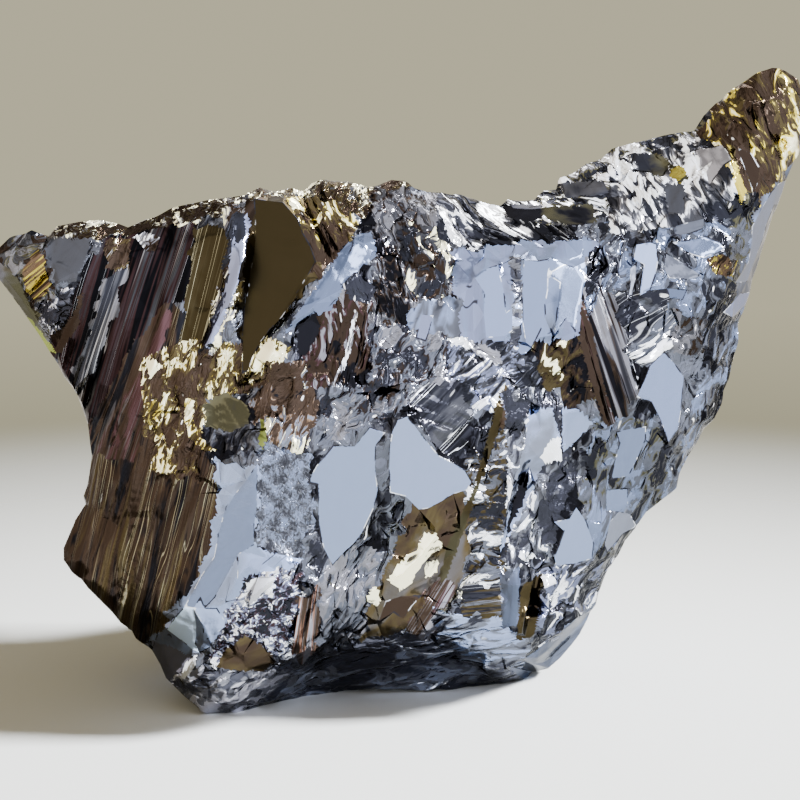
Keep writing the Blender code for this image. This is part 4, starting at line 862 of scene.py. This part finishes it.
class Nodes:
    """Short hand for building a node tree. A value is a number or a colour, or another node's output."""

    def __init__(self, tree):
        self.tree = tree

    def fill(self, socket, value):
        if isinstance(value, bpy.types.NodeSocket):
            self.tree.links.new(value, socket)
        else:
            socket.default_value = value

    def add(self, kind, inputs=None, **settings):
        node = self.tree.nodes.new(kind)
        for name, value in settings.items():
            setattr(node, name, value)
        for name, value in (inputs or {}).items():
            self.fill(node.inputs[name], value)
        return node

    def math(self, operation, *values):
        return self.add("ShaderNodeMath", dict(enumerate(values)), operation=operation).outputs[0]

    def scaled(self, value, mean, gain):
        """How far a value is from its mean, times the gain."""
        return self.math("MULTIPLY", self.math("SUBTRACT", value, mean), gain)

    def vector(self, operation, *values):
        return self.add("ShaderNodeVectorMath", dict(enumerate(values)), operation=operation).outputs[0]

    def attribute(self, name, socket="Vector"):
        node = self.add("ShaderNodeAttribute", attribute_name=name, attribute_type="GEOMETRY")
        return node.outputs[socket]

    def parts(self, vector):
        return self.add("ShaderNodeSeparateXYZ", {0: vector}).outputs

    def pattern(self, place, name):
        """One of the PATTERNS."""
        setup = PATTERNS[name]
        spot = {"Vector": place, "Scale": setup["scale"], "Location": (setup.get("shift", 0.0),) * 3}
        spot = self.add("ShaderNodeMapping", spot).outputs[0]
        figures = {"Detail": setup.get("detail", 0.0), "Distortion": setup.get("distortion", 0.0)}
        return self.add("ShaderNodeTexNoise", {"Vector": spot, "Scale": 1.0, **figures}).outputs["Fac"]

    def fade(self, value, ends, **settings):
        """0 at the first end, 1 at the second."""
        inputs = {"Value": value, "From Min": ends[0], "From Max": ends[1]}
        return self.add("ShaderNodeMapRange", inputs, **settings).outputs[0]

    def blend(self, share, first, second):
        """The first colour, with a share of the second."""
        return self.add("ShaderNodeMix", {0: share, 6: first, 7: second}, data_type="RGBA").outputs[2]

    def mixed(self, share, first, second):
        """The first shader, with a share of the second."""
        return self.add("ShaderNodeMixShader", {0: share, 1: first, 2: second}).outputs[0]

    def ramp(self, value, stops):
        ramp = self.add("ShaderNodeValToRGB", {"Fac": value})
        elements = ramp.color_ramp.elements
        while len(elements) < len(stops):
            elements.new(0.5)
        for element, (position, colour) in zip(elements, stops):
            element.position = position
            element.color = (*colour, 1)
        return ramp.outputs[0]


class Ground:
    """The relief of broken ground: the flow is bent, then it rises in waves, tipped chips and fine waves."""

    def __init__(self, kit):
        self.flow = kit.attribute("flow")
        bend = kit.add("ShaderNodeTexNoise", {"Vector": self.flow, "Scale": BEND_SCALE, "Detail": 1.0})
        bend = kit.vector("SUBTRACT", bend.outputs["Color"], (MIDDLE,) * 3)
        bend = kit.add("ShaderNodeVectorMath", {0: bend, "Scale": BEND}, operation="SCALE").outputs[0]
        self.bent = kit.vector("ADD", self.flow, bend)
        self.drift = kit.pattern(self.flow, "drift")
        self.waves = kit.pattern(self.bent, "waves")
        self.fine = kit.pattern(self.bent, "fine")
        self.chips = kit.add("ShaderNodeTexVoronoi", {"Vector": self.bent, "Scale": CHIP_SCALE}).outputs
        slant = kit.vector("SUBTRACT", self.bent, self.chips["Position"])
        tip = kit.vector("SUBTRACT", self.chips["Color"], (MIDDLE,) * 3)
        tipped = kit.add("ShaderNodeVectorMath", {0: slant, 1: tip}, operation="DOT_PRODUCT")
        self.tipped = tipped.outputs["Value"]
        self.chance = kit.add("ShaderNodeSeparateColor", {"Color": self.chips["Color"]}).outputs


def banded(kit, ground, broken, crisp):
    """Each triangle's band of tints, laid out from trough to crest, mostly darker in the troughs and
    brighter on the crests: painted shade and painted highlights on the relief.
    """
    height = kit.math("ADD", ground.waves, kit.scaled(ground.fine, MIDDLE, FINE_IN_BAND))
    height = kit.math("ADD", height, kit.scaled(ground.drift, MIDDLE, DRIFT_IN_BAND))
    level = kit.fade(height, BAND_ENDS, interpolation_type="SMOOTHSTEP")
    level = kit.math("ADD", level, kit.scaled(ground.chance[0], MIDDLE, broken))
    tint = kit.attribute("tint_0", "Color")
    for i, step in enumerate(kit.parts(kit.attribute("steps"))):
        passed = kit.math("ADD", kit.scaled(level, step, crisp), 0.5)
        passed = kit.add("ShaderNodeClamp", {"Value": passed}).outputs[0]
        tint = kit.blend(passed, tint, kit.attribute(f"tint_{i + 1}", "Color"))
    return tint


def strayed(kit, ground, tint, wear):
    """The tint a little brighter or darker from place to place."""
    stray = kit.pattern(ground.flow, "stray")
    stray = kit.math("ADD", stray, kit.math("MULTIPLY", ground.fine, FINE_IN_STRAY))
    stray = kit.math("MULTIPLY", kit.scaled(stray, STRAY_MEAN, STRAY_GAIN), wear)
    return kit.vector("MULTIPLY", tint, kit.math("ADD", stray, 1.0))


def line_of(kit, ground, name, width):
    """1 along the lines where a pattern is at its mean."""
    off = kit.math("ABSOLUTE", kit.math("SUBTRACT", kit.pattern(ground.bent, name), MIDDLE))
    return kit.fade(off, width)


def marked(kit, ground, tint, threads, nicks, specks):
    """The tint with painted highlight threads along the grain, short dark cracks across it and painted glint
    specks.
    """
    places = kit.fade(kit.pattern(ground.flow, "thread places"), THREAD_PLACES)
    thread = kit.math("MULTIPLY", line_of(kit, ground, "threads", THREAD_WIDTH), places)
    tint = kit.blend(kit.math("MULTIPLY", thread, threads), tint, kit.attribute("tint_3", "Color"))
    places = kit.fade(kit.pattern(ground.flow, "nick places"), NICK_PLACES)
    nick = kit.math("MULTIPLY", line_of(kit, ground, "nicks", NICK_WIDTH), places)
    tint = kit.blend(kit.math("MULTIPLY", nick, nicks), tint, CRACK)
    some = kit.fade(ground.chance[1], SPECK_SHARE)
    speck = kit.math("MULTIPLY", kit.fade(ground.chips["Distance"], SPECK_SIZE), some)
    return kit.blend(kit.math("MULTIPLY", speck, specks), tint, PAINTED_SPECK)


def rimmed(kit, tint):
    """The tint with single planes' rims, which are cracked in places and carry a painted glint in others."""
    flaw = kit.pattern(kit.add("ShaderNodeTexCoord").outputs["Object"], "rim flaws")
    line = kit.math("ADD", kit.attribute("rim", "Fac"), kit.math("MULTIPLY", flaw, FLAW_IN_RIM))
    line = kit.fade(line, RIM_WIDTH)
    tint = kit.blend(kit.math("MULTIPLY", line, kit.fade(flaw, RIM_CRACKS)), tint, CRACK)
    return kit.blend(kit.math("MULTIPLY", line, kit.fade(flaw, RIM_GLINTS)), tint, RIM_GLINT)


def bumped(kit, ground, swell, broken):
    """The normal of the finest relief."""
    chips = kit.math("MULTIPLY", kit.math("MULTIPLY", ground.tipped, broken), CHIPS_RISE)
    rise = kit.math("ADD", kit.math("MULTIPLY", ground.waves, WAVES_RISE), chips)
    rise = kit.math("ADD", rise, kit.math("MULTIPLY", ground.fine, FINE_RISE))
    rise = kit.math("MULTIPLY", rise, swell)
    return kit.add("ShaderNodeBump", {"Height": rise, "Strength": 1.0, "Distance": MM}).outputs[0]


def silicon_material():
    material = bpy.data.materials.new("silicon_metal")
    material.use_nodes = True
    kit = Nodes(material.node_tree)
    swell, dull, _ = kit.parts(kit.attribute("finish"))
    broken, crisp, specks = kit.parts(kit.attribute("band"))
    threads, nicks, wear = kit.parts(kit.attribute("marks"))
    ground = Ground(kit)
    tint = strayed(kit, ground, banded(kit, ground, broken, crisp), wear)
    tint = rimmed(kit, marked(kit, ground, tint, threads, nicks, specks))
    uneven = kit.math("ADD", kit.math("MULTIPLY", ground.waves, DULL_BY_WAVES), DULL_FROM)
    shader = material.node_tree.nodes["Principled BSDF"].inputs
    for name, value in {
        "Metallic": 1.0,
        "Specular Tint": EDGE_TINT,
        "Base Color": tint,
        "Roughness": kit.math("MULTIPLY", dull, uneven),
        "Normal": bumped(kit, ground, swell, broken),
    }.items():
        kit.fill(shader[name], value)
    return material


# The floor is a pale table, in metres: a disc that fades out into the backdrop.
FLOOR_COLOUR = (0.70, 0.74, 0.77, 1)
FLOOR_ROUGHNESS = 0.6
FLOOR_RADIUS = 0.25
FLOOR_FADE = (0.06, 0.215)
FLOOR_FORWARD = 0.05
FLOOR_SIDES = 96


def floor_material():
    material = bpy.data.materials.new("table")
    material.use_nodes = True
    tree = material.node_tree
    kit = Nodes(tree)
    shader = tree.nodes["Principled BSDF"]
    shader.inputs["Base Color"].default_value = FLOOR_COLOUR
    shader.inputs["Roughness"].default_value = FLOOR_ROUGHNESS
    shader.inputs["Specular IOR Level"].default_value = 0.0
    place = kit.add("ShaderNodeTexCoord").outputs["Object"]
    away = kit.add("ShaderNodeVectorMath", {0: place}, operation="LENGTH").outputs["Value"]
    gone = kit.fade(away, FLOOR_FADE, interpolation_type="SMOOTHSTEP")
    clear = kit.add("ShaderNodeBsdfTransparent").outputs[0]
    kit.fill(tree.nodes["Material Output"].inputs["Surface"], kit.mixed(gone, shader.outputs[0], clear))
    return material


def build_floor():
    mesh = bmesh.new()
    bmesh.ops.create_circle(mesh, cap_ends=True, segments=FLOOR_SIDES, radius=FLOOR_RADIUS)
    data = bpy.data.meshes.new("table")
    mesh.to_mesh(data)
    mesh.free()
    data.materials.append(floor_material())
    floor = placed("table", data)
    floor.location.y = -FLOOR_FORWARD


# What the camera sees round the table, and the light that fills the shadow.
BACKDROP = (0.56, 0.52, 0.36)
FAR_TABLE = (0.38, 0.35, 0.24)
HORIZON = (-0.225, -0.185)  # the rise from the one to the other
SHADOW_LIGHT = (0.39, 0.30, 0.14)

# What the stone mirrors: a tent, dark and warm to the left, bright to the right, in front and above.
TENT_SLANT = {"right": 0.60, "back": -0.45, "up": 0.20}
TENT_SPAN = 0.64  # how much of the ramp one unit of slant takes
TENT = (
    (0.12, (2.05, 1.85, 1.60)),
    (0.38, (2.75, 2.60, 2.35)),
    (0.52, (3.35, 3.30, 3.25)),
    (0.80, (4.20, 4.30, 4.55)),
)

# A dark beam across it, by height.
BEAM = tuple((height, (light,) * 3) for height, light in (
    (0.0, 1.0), (0.74, 1.0), (0.78, 0.45), (0.84, 0.45), (0.88, 0.9),
))


def tent_light(kit, right, back, up):
    """The tent's light from a direction."""
    slant = kit.math("ADD", kit.math("MULTIPLY", right, TENT_SLANT["right"]),
                     kit.math("MULTIPLY", up, TENT_SLANT["up"]))
    slant = kit.math("ADD", slant, kit.math("MULTIPLY", back, TENT_SLANT["back"]))
    tent = kit.ramp(kit.math("ADD", kit.math("MULTIPLY", slant, TENT_SPAN), 0.5), TENT)
    beam = kit.ramp(kit.math("ADD", kit.math("MULTIPLY", up, 0.5), 0.5), BEAM)
    return kit.vector("MULTIPLY", tent, beam)


def build_world():
    world = bpy.data.worlds.new("studio")
    bpy.context.scene.world = world
    world.use_nodes = True
    tree = world.node_tree
    kit = Nodes(tree)
    right, back, up = kit.parts(kit.add("ShaderNodeTexCoord").outputs["Generated"])
    seen = kit.ramp(kit.fade(up, HORIZON), ((0.0, FAR_TABLE), (1.0, BACKDROP)))
    backdrop = tree.nodes["Background"]
    kit.fill(backdrop.inputs["Color"], seen)
    tent = kit.add("ShaderNodeBackground", {"Color": tent_light(kit, right, back, up), "Strength": 1.0})
    shade = kit.add("ShaderNodeBackground", {"Color": (*SHADOW_LIGHT, 1), "Strength": 1.0})
    path = kit.add("ShaderNodeLightPath").outputs
    mixed = kit.mixed(path["Is Diffuse Ray"], tent.outputs[0], shade.outputs[0])
    mixed = kit.mixed(path["Is Camera Ray"], mixed, backdrop.outputs[0])
    kit.fill(tree.nodes["World Output"].inputs["Surface"], mixed)


@dataclass
class Lamp:
    """A lamp that faces the stone. Lengths are in metres, and azimuths turn from the right to the back."""

    azimuth: float
    elevation: float
    distance: float
    size: tuple
    power: float
    colour: tuple
    on_floor: bool = False  # if not, it is only mirrored in the stone


LAMPS = {
    "key": Lamp(3, 36, 1.4, (0.26, 0.26), 125.0, (1.0, 0.98, 0.95), on_floor=True),
    "rim": Lamp(80, 38, 1.2, (1.0, 0.25), 16.0, (1.0, 1.0, 1.0)),
    "window": Lamp(-35, 32, 1.2, (0.45, 0.30), 10.0, (0.94, 0.97, 1.0)),
}


def build_lights():
    for name, lamp in LAMPS.items():
        light = bpy.data.lights.new(name, "AREA")
        light.shape = "RECTANGLE"
        light.size, light.size_y = lamp.size
        light.energy = lamp.power
        light.color = lamp.colour
        holder = placed(name, light)
        holder.visible_diffuse = lamp.on_floor
        turn, lift = math.radians(lamp.azimuth), math.radians(lamp.elevation)
        way = Vector((math.cos(turn) * math.cos(lift), math.sin(turn) * math.cos(lift), math.sin(lift)))
        holder.location = lamp.distance * way
        holder.rotation_euler = way.to_track_quat("Z", "Y").to_euler()


def build_camera():
    camera = bpy.data.cameras.new("camera")
    camera.sensor_width = SENSOR
    camera.lens = SENSOR * SIGHT_DISTANCE / FRAME_WIDTH
    camera.clip_start = CLIP_START
    holder = placed("camera", camera)
    holder.location = Vector(EYE * MM)
    holder.rotation_euler = Vector(BACKWARD).to_track_quat("Z", "Y").to_euler()
    bpy.context.scene.camera = holder


build_camera()
build_world()
build_lights()
build_floor()
stone = build_stone(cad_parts[NODE], silicon_material())
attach(stone, "root")
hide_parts(NODE)
